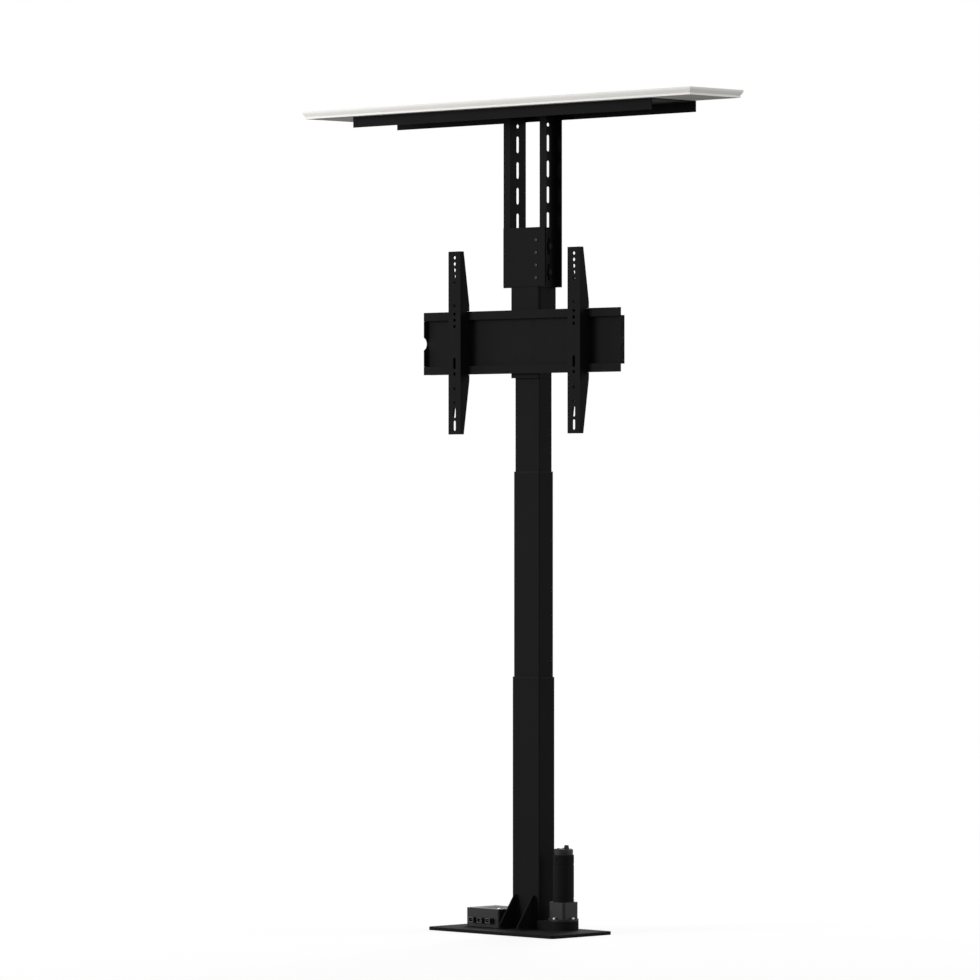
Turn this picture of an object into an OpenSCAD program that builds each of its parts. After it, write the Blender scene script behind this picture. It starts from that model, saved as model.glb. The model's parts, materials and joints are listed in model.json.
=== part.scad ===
// Motorised television lift: a three stage telescopic column on a floor plate,
// with a television bracket and an adjustable lid carrier on its moving head.
// Millimetres, +Z up, television side towards -Y.
// The origin is on the column axis, on the underside of the floor plate.
// The lift is drawn fully raised.

/* [Column] */
// Length of the fixed outer tube
outer_l = 597; // [450:1:800]
// Width of the outer tube
outer_w = 91; // [84:1:110]
// Depth of the outer tube
outer_d = 53; // [50:1:70]
// Corner radius of the outer tube
outer_r = 3.5; // [3.5:0.5:7]
// Wall of the three tubes
tube_wall = 1.5; // [1.2:0.1:1.8]
// Gap between nested tubes, on each side
slide_gap = 1; // [0.8:0.1:1.2]
// Running clearance of a nylon bush
bush_clear = 0.3; // [0.2:0.05:0.4]
// Length of a raised tube that stays inside the one below
tube_overlap = 91; // [85:1:150]
// Room under the parked middle tube for bearing and pulley
drive_room = 21; // [20:1:40]
// Gap between a collar and what parks above it
park_gap = 2; // [1:1:20]
// Height of a collar's lip
collar_lip = 3; // [2:0.5:5]
// Depth of a collar inside its tube
collar_depth = 25; // [15:1:40]
// Height of a glide ring
glide_h = 30; // [15:1:40]
// Room between the parked middle tube and the head cap
head_room = 57; // [10:1:100]

/* [Head] */
// Clearance between the head sleeve and the outer tube
head_gap = 1; // [0.6:0.1:3]
// Wall of the head sleeve
head_wall = 2.5; // [2:0.1:4]
// Length of the head sleeve
head_l = 359; // [300:1:450]
// Thickness of the head cap
cap_t = 10; // [8:1:16]
// Height of the sleeve above the head cap
head_over = 30; // [10:1:40]
// Length of the sleeve's front wall below its other walls
head_skirt = 18; // [12:1:30]
// Diameter of the head cap screws
cap_screw_d = 5; // [4:0.5:6]

/* [Television bracket] */
// Length of the bracket's rails
plate_w = 659; // [500:1:800]
// Height of the bracket
plate_h = 151; // [120:0.5:200]
// Sheet thickness of the bracket
plate_t = 2.5; // [2:0.1:3]
// Height of the bracket above the sleeve's lower end
plate_drop = 11; // [0:1:40]
// Distance from the head to the front of the rails
rail_reach = 14.5; // [13:0.5:20]
// Height of a rail's lip
lip_h = 20; // [12:0.5:28]
// Length cut from the web behind the lip ends
relief = 13; // [8:1:20]
// Radius of the half round notch in an end tab
notch_r = 17; // [10:1:25]
// Depth of that notch
notch_deep = 10; // [5:0.5:11]
// Diameter of the bracket bolts
plate_bolt_d = 8; // [6:1:10]
// Spacing of the bracket bolts across the head
plate_bolt_x = 60; // [40:1:70]
// Spacing of the bracket bolts in height
plate_bolt_z = 80; // [50:1:85]

/* [Arms] */
// Distance between the two arms
arm_spacing = 400; // [300:1:450]
// Height of an arm
arm_h = 440; // [400:1:520]
// Width of an arm
arm_w = 41; // [34:1:50]
// Sheet thickness of an arm
arm_t = 2.5; // [2:0.1:3]
// Distance of the arm front from the rail front
arm_reach = 23.5; // [18:0.5:40]
// Depth of an arm at its ends
arm_end = 11.5; // [8:0.5:15]
// Straight length above and below the rails before the taper
arm_shoulder = 15; // [5:1:40]
// Length of an arm's shoulders over the rails
arm_over = 7.5; // [1:0.5:8]
// Depth of a hook behind a lip
hook_h = 9; // [5:0.5:11]
// Clearance between an arm and the rails
arm_clear = 0.4; // [0.3:0.05:0.6]
// Diameter of the television fixing holes
arm_hole_d = 8.5; // [6:0.5:9]
// Pitch of the rows of holes
hole_pitch = 15; // [12:1:18]
// Height of the television fixing pattern
pattern_h = 200; // [190:1:230]
// Distance of the pattern's centre below the arm's centre
pattern_drop = 10.5; // [5:0.5:15]
// Diameter of the arm lock screw
lock_d = 6; // [5:0.5:8]

/* [Lid carrier] */
// Length of a riser
riser_l = 418; // [340:1:460]
// Depth of a riser
riser_depth = 54; // [40:1:57]
// Width of a riser's flanges
riser_flange = 22; // [18:1:30]
// Sheet thickness of a riser
riser_t = 2.5; // [2:0.1:3]
// Gap between a riser and the head
riser_gap = 0.5; // [0.3:0.1:1]
// Width of the riser slots
slot_w = 9.5; // [9:0.1:12]
// Length of the riser slots
slot_l = 40; // [39:1:50]
// Pitch of the riser slots
slot_pitch = 61.5; // [58:0.5:80]
// Height of the first slot above the riser's lower end
slot_start = 36; // [30:1:45]
// Height of the guide plate
guide_h = 141; // [125:1:180]
// Distance of the guide plate's sides from the risers' edges
guide_inset = 2; // [0:0.5:6]
// Thickness of the guide plate
guide_t = 2.5; // [2:0.1:5]
// Diameter of the guide screws
guide_screw_d = 5; // [4:0.5:6]
// Pitch of the guide screws
guide_pitch = 30; // [20:1:32]
// Distance of the guide screws' column from the axis
guide_screw_x = 41.5; // [20:0.5:42]
// Height of the lowest guide screw above the plate's lower edge
guide_screw_z = 20.5; // [15:0.5:25]
// Diameter of the riser bolts
riser_bolt_d = 8; // [6:0.5:8]
// Thickness of the plate on the riser tops
crown_t = 5; // [4:0.5:10]
// Length of the lid tray
tray_w = 1000; // [600:1:1200]
// Distance of the tray's front from the column axis
tray_front = 118; // [80:1:130]
// Distance of the tray's back from the column axis
tray_back = 33; // [28:1:34]
// Height of the tray's flanges
tray_h = 26; // [15:0.5:40]
// Sheet thickness of the tray
tray_t = 2; // [1.5:0.1:3]
// Diameter of the tray bolts
tray_bolt_d = 8; // [6:1:10]
// Diameter of the lid screws
lid_screw_d = 5; // [4:0.5:6]

/* [Lid] */
// Length of the lid panel
lid_w = 1299; // [1250:1:1500]
// Distance of the lid's front from the column axis
lid_front = 148; // [140:1:200]
// Distance of the lid's back from the column axis
lid_back = 34; // [34:1:80]
// Thickness of the lid panel
lid_t = 18; // [17:1:35]
// Height of the square lower edge
lid_foot = 4.5; // [2:0.5:5]
// Depth of the rounded edge
lid_round = 6; // [3:0.5:9]
// Height of that rounding
lid_round_h = 11; // [4:0.5:11.5]
// Width of the square edge's ledge
lid_ledge = 1; // [0:0.5:2]

/* [Base] */
// Width of the floor plate
base_w = 420; // [400:1:600]
// Distance of the plate's front from the column axis
base_front = 150; // [120:1:200]
// Distance of the plate's back from the column axis
base_back = 55; // [50:1:90]
// Thickness of the floor plate
base_t = 8; // [6:1:12]
// Diameter of the floor fixing holes
base_hole_d = 9; // [7:0.5:13]
// Distance of those holes from the plate's edges
base_hole_edge = 25; // [15:1:28]
// Height of the front gussets
gusset_h = 80; // [40:1:120]
// Length of the front gussets
gusset_l = 60; // [30:1:85]
// Thickness of a gusset
gusset_t = 4; // [3:0.5:6]

/* [Drive] */
// Diameter of the lower screw
screw_d = 14; // [12:0.5:14]
// Outer diameter of the hollow upper screw
hollow_d = 24; // [22:0.5:25]
// Bore of the hollow upper screw
hollow_bore = 16.5; // [16:0.25:17]
// Radius of the belt's inner face
belt_r = 14; // [12:0.5:16]
// Thickness of the belt
belt_t = 1.8; // [1.2:0.1:2.5]
// Width of the belt
belt_w = 10; // [8:0.5:10]
// Distance of the motor axis from the column axis
motor_x = 100; // [92:1:125]
// Diameter of the motor
motor_d = 50; // [40:1:54]
// Length of the motor
motor_l = 112; // [80:1:120]
// Diameter of the motor shaft
shaft_d = 8; // [6:0.5:10]
// Height of the gearbox housing
gearbox_h = 45; // [35:1:55]

/* [Control box] */
// Length of the control box
box_w = 110; // [90:1:115]
// Depth of the control box
box_d = 100; // [80:1:130]
// Height of the control box
box_h = 44; // [38:1:60]
// Wall of the control box
box_wall = 2.5; // [2:0.1:3.5]
// Gap between the control box and the column
box_gap = 12; // [8:1:16]

/* [Hidden] */

// Roundness of drawn circles
$fn = 48;

// Small values shared by the fits
fit = 0.05;
cut = 1;
axial_play = 0.3;

// Colours of the finishes
black_coat = [0.12, 0.12, 0.12];
lid_white = [0.86, 0.86, 0.84];
zinc = [0.72, 0.72, 0.74];
nylon = [0.25, 0.25, 0.26];
bronze = [0.72, 0.52, 0.25];
plastic = [0.16, 0.16, 0.17];
board_green = [0.1, 0.35, 0.2];

// Nested tube sections
step_in = tube_wall + slide_gap;
corner_step = 0.75;
middle_w = outer_w - 2 * step_in;
middle_d = outer_d - 2 * step_in;
middle_r = outer_r - corner_step;
inner_w = middle_w - 2 * step_in;
inner_d = middle_d - 2 * step_in;
inner_r = middle_r - corner_step;
bush_t = slide_gap - bush_clear;
head_in_w = outer_w + 2 * head_gap;
head_in_d = outer_d + 2 * head_gap;
head_w = head_in_w + 2 * head_wall;
head_d = head_in_d + 2 * head_wall;
head_r = outer_r + head_gap + head_wall;
cap_head_d = 1.75 * cap_screw_d;
cap_screw_l = 14;
cap_hole_deep = 16;

// Screw nuts, bearing and the block that holds them
nut_h = 16.5;
bearing_h = 9;
seat_gap = 0.5;
block_h = nut_h + bearing_h + seat_gap;
flange_h = 2;
flange_room = 1.7;
block_gap = axial_play + flange_h + flange_room;
inner_block_h = 20;
middle_nut_d = screw_d + 10;
inner_nut_d = hollow_d + 9;
journal_d = hollow_d - 4;
bearing_d = hollow_d + 12;
flange_d = hollow_d + 6;

// Travel of each moving stage
stage_travel = outer_l - drive_room - tube_overlap;

// Heights, with the lift raised
riser_drop = 2;
outer_top = base_t + outer_l;
middle_top = outer_top + collar_lip + park_gap + stage_travel;
middle_bottom = base_t + drive_room + stage_travel;
inner_bottom = middle_bottom + block_h + block_gap + stage_travel;
inner_top = middle_top + collar_lip + head_room + stage_travel;
head_top = inner_top + cap_t + head_over;
head_bottom = head_top - head_l;
plate_bottom = head_bottom + plate_drop;
plate_mid = plate_bottom + plate_h / 2;
guide_bottom = head_top - guide_h;
riser_bottom = guide_bottom - riser_drop;
riser_top = riser_bottom + riser_l;
crown_top = riser_top + crown_t;
tray_top = crown_top + tray_t;
lid_top = tray_top + lid_t;

// Lower bearing and pulleys
lower_journal_d = screw_d - 2;
lower_bearing_h = 7;
lower_bearing_d = screw_d + 20;
pulley_z = base_t + lower_bearing_h + axial_play;
pulley_flange_h = 1;
pulley_h = belt_w + 2 * (pulley_flange_h + axial_play);
pulley_flange_d = 2 * (belt_r + belt_t) + 1;
belt_z = pulley_z + pulley_flange_h + axial_play;
lower_screw_top = middle_bottom + block_h + 20;
upper_screw_bottom = middle_bottom + nut_h + axial_play + seat_gap;
upper_screw_top = inner_bottom + inner_block_h + 12;
key_w = 3;
key_l = 20;
keyway_deep = 1.6;
keyway_w = key_w + 2 * axial_play;

// Belt cover, gearbox and motor
cover_wall = 2;
cover_top = pulley_z + pulley_h + axial_play + cover_wall;
gear_flange_t = 5;
gear_w = motor_d + 2;
gear_r = 8;
gear_flange_w = gear_w + 20;
cover_half = max(belt_r + belt_t + 9 + cover_wall, gear_flange_w / 2);
belt_window = belt_r + belt_t + 2;
window_sill = 4;
gear_z = cover_top;
motor_z = gear_z + gearbox_h;
end_cap_h = 14;
gear_screw_d = 4;
gear_head_d = 1.75 * gear_screw_d;
gear_screw_at = gear_flange_w / 2 - 4.5;
shaft_hole_d = shaft_d + 4;
motor_cap_d = motor_d - 4;
gland_x = motor_d / 5;
gland_d = 11;
gland_h = 9;
shaft_bottom = base_t + 3;
shaft_top = gear_z + 20;

// Television bracket and arms
head_front = -head_d / 2;
web_front = head_front - plate_t;
rail_front = head_front - rail_reach;
lip_back = rail_front + plate_t;
plate_top = plate_bottom + plate_h;
tab_h = plate_h - 2 * lip_h + 3;
tab_clear = 0.5;
arm_front = rail_front - arm_reach;
arm_mid = plate_mid;
hook_top = plate_h / 2 - lip_h - arm_clear;
bolt_head_h = 1.5;
bolt_head_d = 1.75 * plate_bolt_d;
arm_top_rows = [0 : 4];
arm_mid_rows = [0 : 2];
arm_top_edge = 15;
arm_mid_first = 39.5;
arm_slot_l = 25;
arm_slot_pitch = 31;
arm_slot_edge = 21;
arm_mid_slot = 49.5;
arm_mid_slot_l = 28;
arm_low_hole = 74.5;
arm_last_hole = 144;
hook_clear = 1.5;
lock_tab_t = 3;
lock_drop = 16;
lock_neck = 2;
lock_knob_h = 10;
lock_knob_d = 16;
lock_y = rail_front + lock_d / 2 + 0.5;
lock_tongue = lock_knob_d / 2 + 1;

// Lid carrier
riser_in = head_w / 2 + riser_gap;
riser_out = riser_in + riser_flange;
riser_front = head_front + axial_play;
riser_mid_y = riser_front + riser_depth / 2;
slot_last = floor((riser_l - slot_start - slot_l / 2) / slot_pitch);
riser_slots = [0 : slot_last];
slot_end = riser_bottom + slot_start + slot_last * slot_pitch + slot_l / 2;
end_hole_z = riser_top - 30.5;
guide_rows = [0 : 3];
riser_bolt_rows = [0, 1];
washer_t = 2;
washer_d = 17;
riser_head_d = 13;
hex_ratio = 1.1547;
tray_head_d = 13;
tray_head_h = 5.3;
lid_head_d = 9;
lid_head_h = 2.5;
riser_head_h = 5.3;
tray_bolt_x = riser_in - 16;
tray_bolt_y = riser_depth / 2 - 10;
lid_screw_x = [-0.45 * tray_w, -0.16 * tray_w, 0.16 * tray_w, 0.45 * tray_w];
lid_screw_inset = 22;
lid_screw_deep = 14;
round_steps = 8;
round_power = 1.5;

// Base and control box
base_hole_x = base_w / 2 - base_hole_edge;
base_hole_y = [-base_front + base_hole_edge, base_back - base_hole_edge];
base_corner = 12;
back_gusset_l = base_back - outer_d / 2 - 5;
back_gusset_h = 0.75 * gusset_h;
rib_land = 8;
gusset_x = outer_w / 2 - 15;
box_x = -outer_w / 2 - box_gap - box_w / 2;
box_y = -10;
box_floor = base_t;
box_lid_t = 3;
box_boss_d = 8;
box_screw_d = 3;
box_screw_x = box_w / 2 - box_wall - box_boss_d / 2;
box_screw_y = box_d / 2 - box_wall - box_boss_d / 2;
board_t = 1.6;
board_post_h = 6;
board_w = box_w - 2 * (box_wall + box_boss_d) - 2;
board_d = box_d - 2 * box_wall - 2;
socket_x = [-28, 0, 28];
socket_w = 16;
socket_h = 12;
socket_wall = 2;
socket_out = 12;
socket_in = 6;
socket_deep = 10;
socket_z = box_wall + board_post_h + board_t + socket_h / 2 + fit;
box_r = 5;
box_in_r = 3;
boss_hole_deep = 15;
post_d = 6;
post_inset_x = 6;
post_inset_y = 14;
vent_w = 3;
vent_pitch = 9;
vents = [-3 : 3];
relay = [26, 30, 18];
relay_inset = 8;
capacitor_d = 11;
capacitor_h = 16;
capacitor_x = [8, 24];
capacitor_y = 18;
box_screw_l = 14;
box_head_h = 2;
drive_w = 0.9;
drive_deep = 1.2;

// Rectangle with round corners, centred
module round_rect(w, d, r) {
    square([w - 2 * r, d], center = true);
    square([w, d - 2 * r], center = true);
    for (x = [-1, 1], y = [-1, 1])
        translate([x * (w / 2 - r), y * (d / 2 - r)]) circle(r = r);
}

// Block with round upright edges between two heights
module round_block(w, d, r, z0, z1) {
    translate([0, 0, z0]) linear_extrude(z1 - z0) round_rect(w, d, r);
}

// Rectangular ring between two heights
module ring(w, d, r, w_in, d_in, r_in, z0, z1) {
    difference() {
        round_block(w, d, r, z0, z1);
        round_block(w_in, d_in, r_in, z0 - cut, z1 + cut);
    }
}

// Tube of the column
module column_tube(w, d, r, z0, z1) {
    ring(w, d, r, w - 2 * tube_wall, d - 2 * tube_wall, r - tube_wall, z0, z1);
}

// Bush in the mouth of a tube, with a lip on its end
module mouth_bush(w, d, r, z_top) {
    in_w = w - 2 * tube_wall;
    in_d = d - 2 * tube_wall;
    in_r = r - tube_wall;
    bore_w = in_w - 2 * bush_t;
    bore_d = in_d - 2 * bush_t;
    bore_r = in_r - bush_t / 2;
    z_end = z_top + collar_lip;
    ring(in_w - 2 * fit, in_d - 2 * fit, in_r, bore_w, bore_d, bore_r, z_top - collar_depth, z_end);
    ring(w, d, r, bore_w, bore_d, bore_r, z_top, z_end);
}

// Glide ring round the lower end of a tube
module foot_glide(w, d, r, z_low) {
    ring(w + 2 * bush_t, d + 2 * bush_t, r + bush_t, w + 2 * fit, d + 2 * fit, r, z_low, z_low + glide_h);
}

// Upright round bar, or a hole when it is cut
module bar(d, z0, z1) {
    translate([0, 0, z0]) cylinder(d = d, h = z1 - z0);
}

// Upright round tube
module pipe(d, bore, z0, z1) {
    difference() {
        bar(d, z0, z1);
        bar(bore, z0 - cut, z1 + cut);
    }
}

// Round bar along Y, from y0 to y1
module bar_y(d, y0, y1) {
    translate([0, y0, 0]) rotate([-90, 0, 0]) cylinder(d = d, h = y1 - y0);
}

// Round bar along X, from x0 to x1
module bar_x(d, x0, x1) {
    translate([x0, 0, 0]) rotate([0, 90, 0]) cylinder(d = d, h = x1 - x0);
}

// Upright slot along Y, from y0 to y1, centred in height
module slot_y(w, l, y0, y1) {
    for (s = [-1, 1]) translate([0, 0, s * (l - w) / 2]) bar_y(w, y0, y1);
    translate([-w / 2, y0, -(l - w) / 2]) cube([w, y1 - y0, l - w]);
}

// Upright slot along X, from x0 to x1, centred in height
module slot_x(w, l, x0, x1) {
    for (s = [-1, 1]) translate([0, 0, s * (l - w) / 2]) bar_x(w, x0, x1);
    translate([x0, -w / 2, -(l - w) / 2]) cube([x1 - x0, w, l - w]);
}

// Box between two corners
module span(a, b) {
    translate(a) cube(b - a);
}

// Button head screw along Y: its head lies in front of y_seat
module screw_y(d, head_d, head_h, y_seat, y_end) {
    bar_y(d, y_seat - cut, y_end);
    difference() {
        bar_y(head_d, y_seat - head_h, y_seat);
        translate([0, y_seat - head_h - cut, 0]) rotate([-90, 0, 0])
            cylinder(d = 0.6 * d, h = cut + head_h / 2, $fn = 6);
    }
}

// Triangular rib in the YZ plane, standing at y0 and pointing along dir
module rib(y0, dir, l, h) {
    translate([gusset_t / 2, y0, base_t]) rotate([0, -90, 0]) linear_extrude(gusset_t)
        polygon([[0, 0], [h, 0], [h, dir * rib_land], [rib_land, dir * l], [0, dir * l]]);
}

module base_holes() {
    for (x = [-1, 1], y = base_hole_y)
        translate([x * base_hole_x, y, 0]) bar(base_hole_d, -cut, base_t + cut);
}

module base_plate() {
    mid_y = (base_back - base_front) / 2;
    color(black_coat) difference() {
        translate([0, mid_y, 0]) round_block(base_w, base_front + base_back, base_corner, 0, base_t);
        base_holes();
    }
}

module base_gussets() {
    color(black_coat) for (s = [-1, 1]) translate([s * gusset_x, 0, 0]) {
        rib(-outer_d / 2, -1, gusset_l, gusset_h);
        rib(outer_d / 2, 1, back_gusset_l, back_gusset_h);
    }
}

module outer_tube() {
    color(black_coat) difference() {
        column_tube(outer_w, outer_d, outer_r, base_t, outer_top);
        span([outer_w / 2 - tube_wall - cut, -belt_window, base_t + window_sill],
            [outer_w / 2 + cut, belt_window, cover_top - cover_wall]);
    }
}

module outer_collar() {
    color(nylon) mouth_bush(outer_w, outer_d, outer_r, outer_top);
}

module thrust_bearing() {
    color(zinc) pipe(lower_bearing_d, lower_journal_d + 2 * fit, base_t, base_t + lower_bearing_h);
}

// Outline of the belt's run, grown by a distance
module belt_outline(grow) {
    r = belt_r + grow;
    translate([0, -r]) square([motor_x, 2 * r]);
    circle(r = r);
    translate([motor_x, 0]) circle(r = r);
}

module drive_belt() {
    color(plastic) translate([0, 0, belt_z]) linear_extrude(belt_w) difference() {
        belt_outline(belt_t);
        belt_outline(0);
    }
}

// Solid outline of the belt cover, drawn smaller by an inset
module cover_shell(inset, z0, z1) {
    half = cover_half - inset;
    span([outer_w / 2 + inset, -half, z0], [motor_x, half, z1]);
    translate([motor_x, 0, 0]) bar(2 * half, z0, z1);
}

module belt_cover() {
    face = outer_w / 2;
    roof = cover_top - cover_wall;
    color(black_coat) difference() {
        cover_shell(0, base_t, cover_top);
        cover_shell(cover_wall, base_t - cut, roof);
        span([face - cut, -belt_window, base_t - cut], [face + cover_wall + cut, belt_window, roof]);
        translate([motor_x, 0, 0]) bar(shaft_hole_d, base_t, cover_top + cut);
        at_gear_screws() bar(gear_screw_d + 2 * fit, roof - cut, cover_top + cut);
    }
}

// The four fixing points of the gearbox flange
module at_gear_screws() {
    for (a = [0 : 90 : 270])
        translate([motor_x, 0, 0]) rotate(a) translate([gear_screw_at, 0, 0]) children();
}

module gearbox_housing() {
    color(plastic) difference() {
        union() {
            translate([motor_x, 0, 0]) bar(gear_flange_w, gear_z, gear_z + gear_flange_t);
            translate([motor_x, 0, 0]) round_block(gear_w, gear_w, gear_r, gear_z, motor_z);
        }
        translate([motor_x, 0, 0]) bar(shaft_d + 2 * fit, gear_z - cut, shaft_top + axial_play);
        at_gear_screws() bar(gear_screw_d + 2 * fit, gear_z - cut, gear_z + gear_flange_t + cut);
    }
}

module gearbox_screws() {
    color(zinc) at_gear_screws() difference() {
        union() {
            bar(gear_screw_d, gear_z - cover_wall, gear_z + gear_flange_t + cut);
            bar(gear_head_d, gear_z + gear_flange_t, gear_z + gear_flange_t + gear_screw_d);
        }
        translate([0, 0, gear_z + gear_flange_t + gear_screw_d / 2])
            cylinder(d = gear_screw_d, h = gear_screw_d, $fn = 6);
    }
}

module motor_can() {
    color(black_coat) translate([motor_x, 0, 0]) bar(motor_d, motor_z, motor_z + motor_l);
}

module motor_end_cap() {
    z0 = motor_z + motor_l;
    color(plastic) translate([motor_x, 0, 0]) difference() {
        union() {
            bar(motor_cap_d, z0, z0 + end_cap_h);
            translate([gland_x, 0, 0]) bar(gland_d, z0, z0 + end_cap_h + gland_h);
        }
        translate([gland_x, 0, 0]) bar(gland_d / 2, z0 + end_cap_h, z0 + end_cap_h + gland_h + cut);
    }
}

// Everything of the control box stands round its own centre
module at_box() {
    translate([box_x, box_y, box_floor]) children();
}

module at_box_screws() {
    for (x = [-1, 1], y = [-1, 1]) translate([x * box_screw_x, y * box_screw_y, 0]) children();
}

// The sockets' seats in the front wall
module at_sockets() {
    for (x = socket_x) translate([x, -box_d / 2, socket_z]) children();
}

module control_box_base() {
    wall_top = box_h - box_lid_t;
    color(plastic) at_box() difference() {
        union() {
            ring(box_w, box_d, box_r, box_w - 2 * box_wall, box_d - 2 * box_wall, box_in_r, 0, wall_top);
            round_block(box_w, box_d, box_r, 0, box_wall);
            at_box_screws() bar(box_boss_d + 2, 0, wall_top);
            for (x = [-1, 1], y = [-1, 1])
                translate([x * (board_w / 2 - post_inset_x), y * (board_d / 2 - post_inset_y), 0])
                    bar(post_d, 0, box_wall + board_post_h);
        }
        at_box_screws() bar(box_screw_d + 2 * fit, wall_top - boss_hole_deep, wall_top + cut);
        at_sockets() cube([socket_w + 2 * fit, 4 * box_wall, socket_h + 2 * fit], center = true);
    }
}

module control_box_lid() {
    vent_l = 0.5 * box_d;
    color(plastic) at_box() difference() {
        round_block(box_w, box_d, box_r, box_h - box_lid_t, box_h);
        at_box_screws() bar(box_screw_d + 2 * fit, box_h - box_lid_t - cut, box_h + cut);
        for (i = vents) translate([i * vent_pitch, 0, box_h])
            cube([vent_w, vent_l, 3 * box_lid_t], center = true);
    }
}

module control_board() {
    z0 = box_wall + board_post_h;
    z1 = z0 + board_t;
    color(board_green) at_box() {
        span([-board_w / 2, -board_d / 2, z0], [board_w / 2, board_d / 2, z1]);
        translate([-board_w / 2 + relay_inset, 0, z1]) cube(relay);
        for (x = capacitor_x) translate([x, capacitor_y, 0]) bar(capacitor_d, z1, z1 + capacitor_h);
    }
}

module control_sockets() {
    mouth_w = socket_w - 2 * socket_wall;
    mouth_h = socket_h - 2 * socket_wall;
    color(nylon) at_box() at_sockets() difference() {
        translate([-socket_w / 2, -socket_out, -socket_h / 2])
            cube([socket_w, socket_out + socket_in, socket_h]);
        translate([-mouth_w / 2, -socket_out - cut, -mouth_h / 2])
            cube([mouth_w, socket_deep + cut, mouth_h]);
    }
}

module control_box_screws() {
    color(zinc) at_box() at_box_screws() {
        drive_l = 0.8 * box_screw_d;
        drive_z = box_h + box_head_h;
        bar(box_screw_d, box_h - box_screw_l, box_h + box_head_h / 4);
        difference() {
            bar(2 * box_screw_d, box_h, box_h + box_head_h);
            translate([0, 0, drive_z]) cube([drive_l, drive_w, 2 * drive_deep], center = true);
            translate([0, 0, drive_z]) cube([drive_w, drive_l, 2 * drive_deep], center = true);
        }
    }
}

module lower_screw() {
    color(zinc) difference() {
        union() {
            bar(lower_journal_d, base_t + axial_play, pulley_z + cut);
            bar(screw_d, pulley_z, lower_screw_top);
        }
        translate([screw_d / 2 - keyway_deep, -keyway_w / 2, pulley_z + pulley_h])
            cube([screw_d, keyway_w, lower_screw_top]);
    }
}

// Flanged toothed pulley on a given shaft
module pulley(bore) {
    teeth = 22;
    tooth_w = 2.2;
    tooth_deep = 0.9;
    root = belt_r - axial_play;
    difference() {
        union() {
            bar(pulley_flange_d, pulley_z, pulley_z + pulley_flange_h);
            bar(2 * root, pulley_z, pulley_z + pulley_h);
            bar(pulley_flange_d, pulley_z + pulley_h - pulley_flange_h, pulley_z + pulley_h);
        }
        bar(bore, pulley_z - cut, pulley_z + pulley_h + cut);
        for (i = [0 : teeth - 1]) rotate(i * 360 / teeth)
            translate([root - tooth_deep, -tooth_w / 2, belt_z]) cube([belt_t, tooth_w, belt_w]);
    }
}

module screw_pulley() {
    color(zinc) pulley(screw_d + 2 * fit);
}

module motor_shaft() {
    color(zinc) translate([motor_x, 0, 0]) bar(shaft_d, shaft_bottom, shaft_top);
}

module motor_pulley() {
    color(zinc) translate([motor_x, 0, 0]) pulley(shaft_d + 2 * fit);
}

module middle_tube() {
    color(black_coat) column_tube(middle_w, middle_d, middle_r, middle_bottom, middle_top);
}

module middle_collar() {
    color(nylon) mouth_bush(middle_w, middle_d, middle_r, middle_top);
}

module middle_glide() {
    color(nylon) foot_glide(middle_w, middle_d, middle_r, middle_bottom);
}

// Block that fills the lower end of a tube
module nut_block(w, d, r, z0, h) {
    in_w = w - 2 * (tube_wall + fit);
    in_d = d - 2 * (tube_wall + fit);
    round_block(in_w, in_d, r - tube_wall, z0, z0 + h);
}

module middle_nut_block() {
    seat = middle_bottom + nut_h + seat_gap;
    color(plastic) difference() {
        nut_block(middle_w, middle_d, middle_r, middle_bottom, block_h);
        bar(middle_nut_d + 2 * fit, middle_bottom - cut, seat + cut);
        bar(bearing_d + 2 * fit, seat, middle_bottom + block_h + cut);
    }
}

module middle_nut() {
    color(bronze) pipe(middle_nut_d, screw_d + 2 * fit, middle_bottom, middle_bottom + nut_h);
}

module upper_bearing() {
    seat = middle_bottom + nut_h + seat_gap;
    color(zinc) pipe(bearing_d, journal_d + 2 * fit, seat, seat + bearing_h);
}

module upper_screw() {
    flange_z = middle_bottom + block_h + axial_play;
    key_x = screw_d / 2 - keyway_deep + axial_play;
    color(zinc) {
        pipe(journal_d, hollow_bore, upper_screw_bottom, flange_z + cut);
        pipe(flange_d, hollow_bore, flange_z, flange_z + flange_h);
        pipe(hollow_d, hollow_bore, flange_z, upper_screw_top);
        span([key_x, -key_w / 2, upper_screw_bottom],
            [hollow_bore / 2 + seat_gap, key_w / 2, upper_screw_bottom + key_l]);
    }
}

module inner_tube() {
    color(black_coat) column_tube(inner_w, inner_d, inner_r, inner_bottom, inner_top);
}

module inner_glide() {
    color(nylon) foot_glide(inner_w, inner_d, inner_r, inner_bottom);
}

module inner_nut_block() {
    color(plastic) difference() {
        nut_block(inner_w, inner_d, inner_r, inner_bottom, inner_block_h);
        bar(inner_nut_d + 2 * fit, inner_bottom - cut, inner_bottom + inner_block_h + cut);
    }
}

module inner_nut() {
    color(bronze) pipe(inner_nut_d, hollow_d + 2 * fit, inner_bottom, inner_bottom + inner_block_h);
}

// Places of the bracket bolts on the head's front
module at_plate_bolts() {
    for (x = [-1, 1], z = [-1, 1])
        translate([x * plate_bolt_x / 2, 0, plate_mid + z * plate_bolt_z / 2]) children();
}

// Places of the guide screws on the head's front, one column on the right
module at_guide_screws() {
    for (i = guide_rows)
        translate([guide_screw_x, 0, guide_bottom + guide_screw_z + i * guide_pitch]) children();
}

// Places of the riser bolts on the right
module at_riser_bolts() {
    for (i = riser_bolt_rows)
        translate([0, riser_mid_y, riser_bottom + slot_start + i * slot_pitch]) children();
}

// Places of the head cap screws on the head's back
module at_cap_screws() {
    for (x = [-1, 0, 1]) translate([x * head_w / 4, 0, inner_top + cap_t / 2]) children();
}

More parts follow.
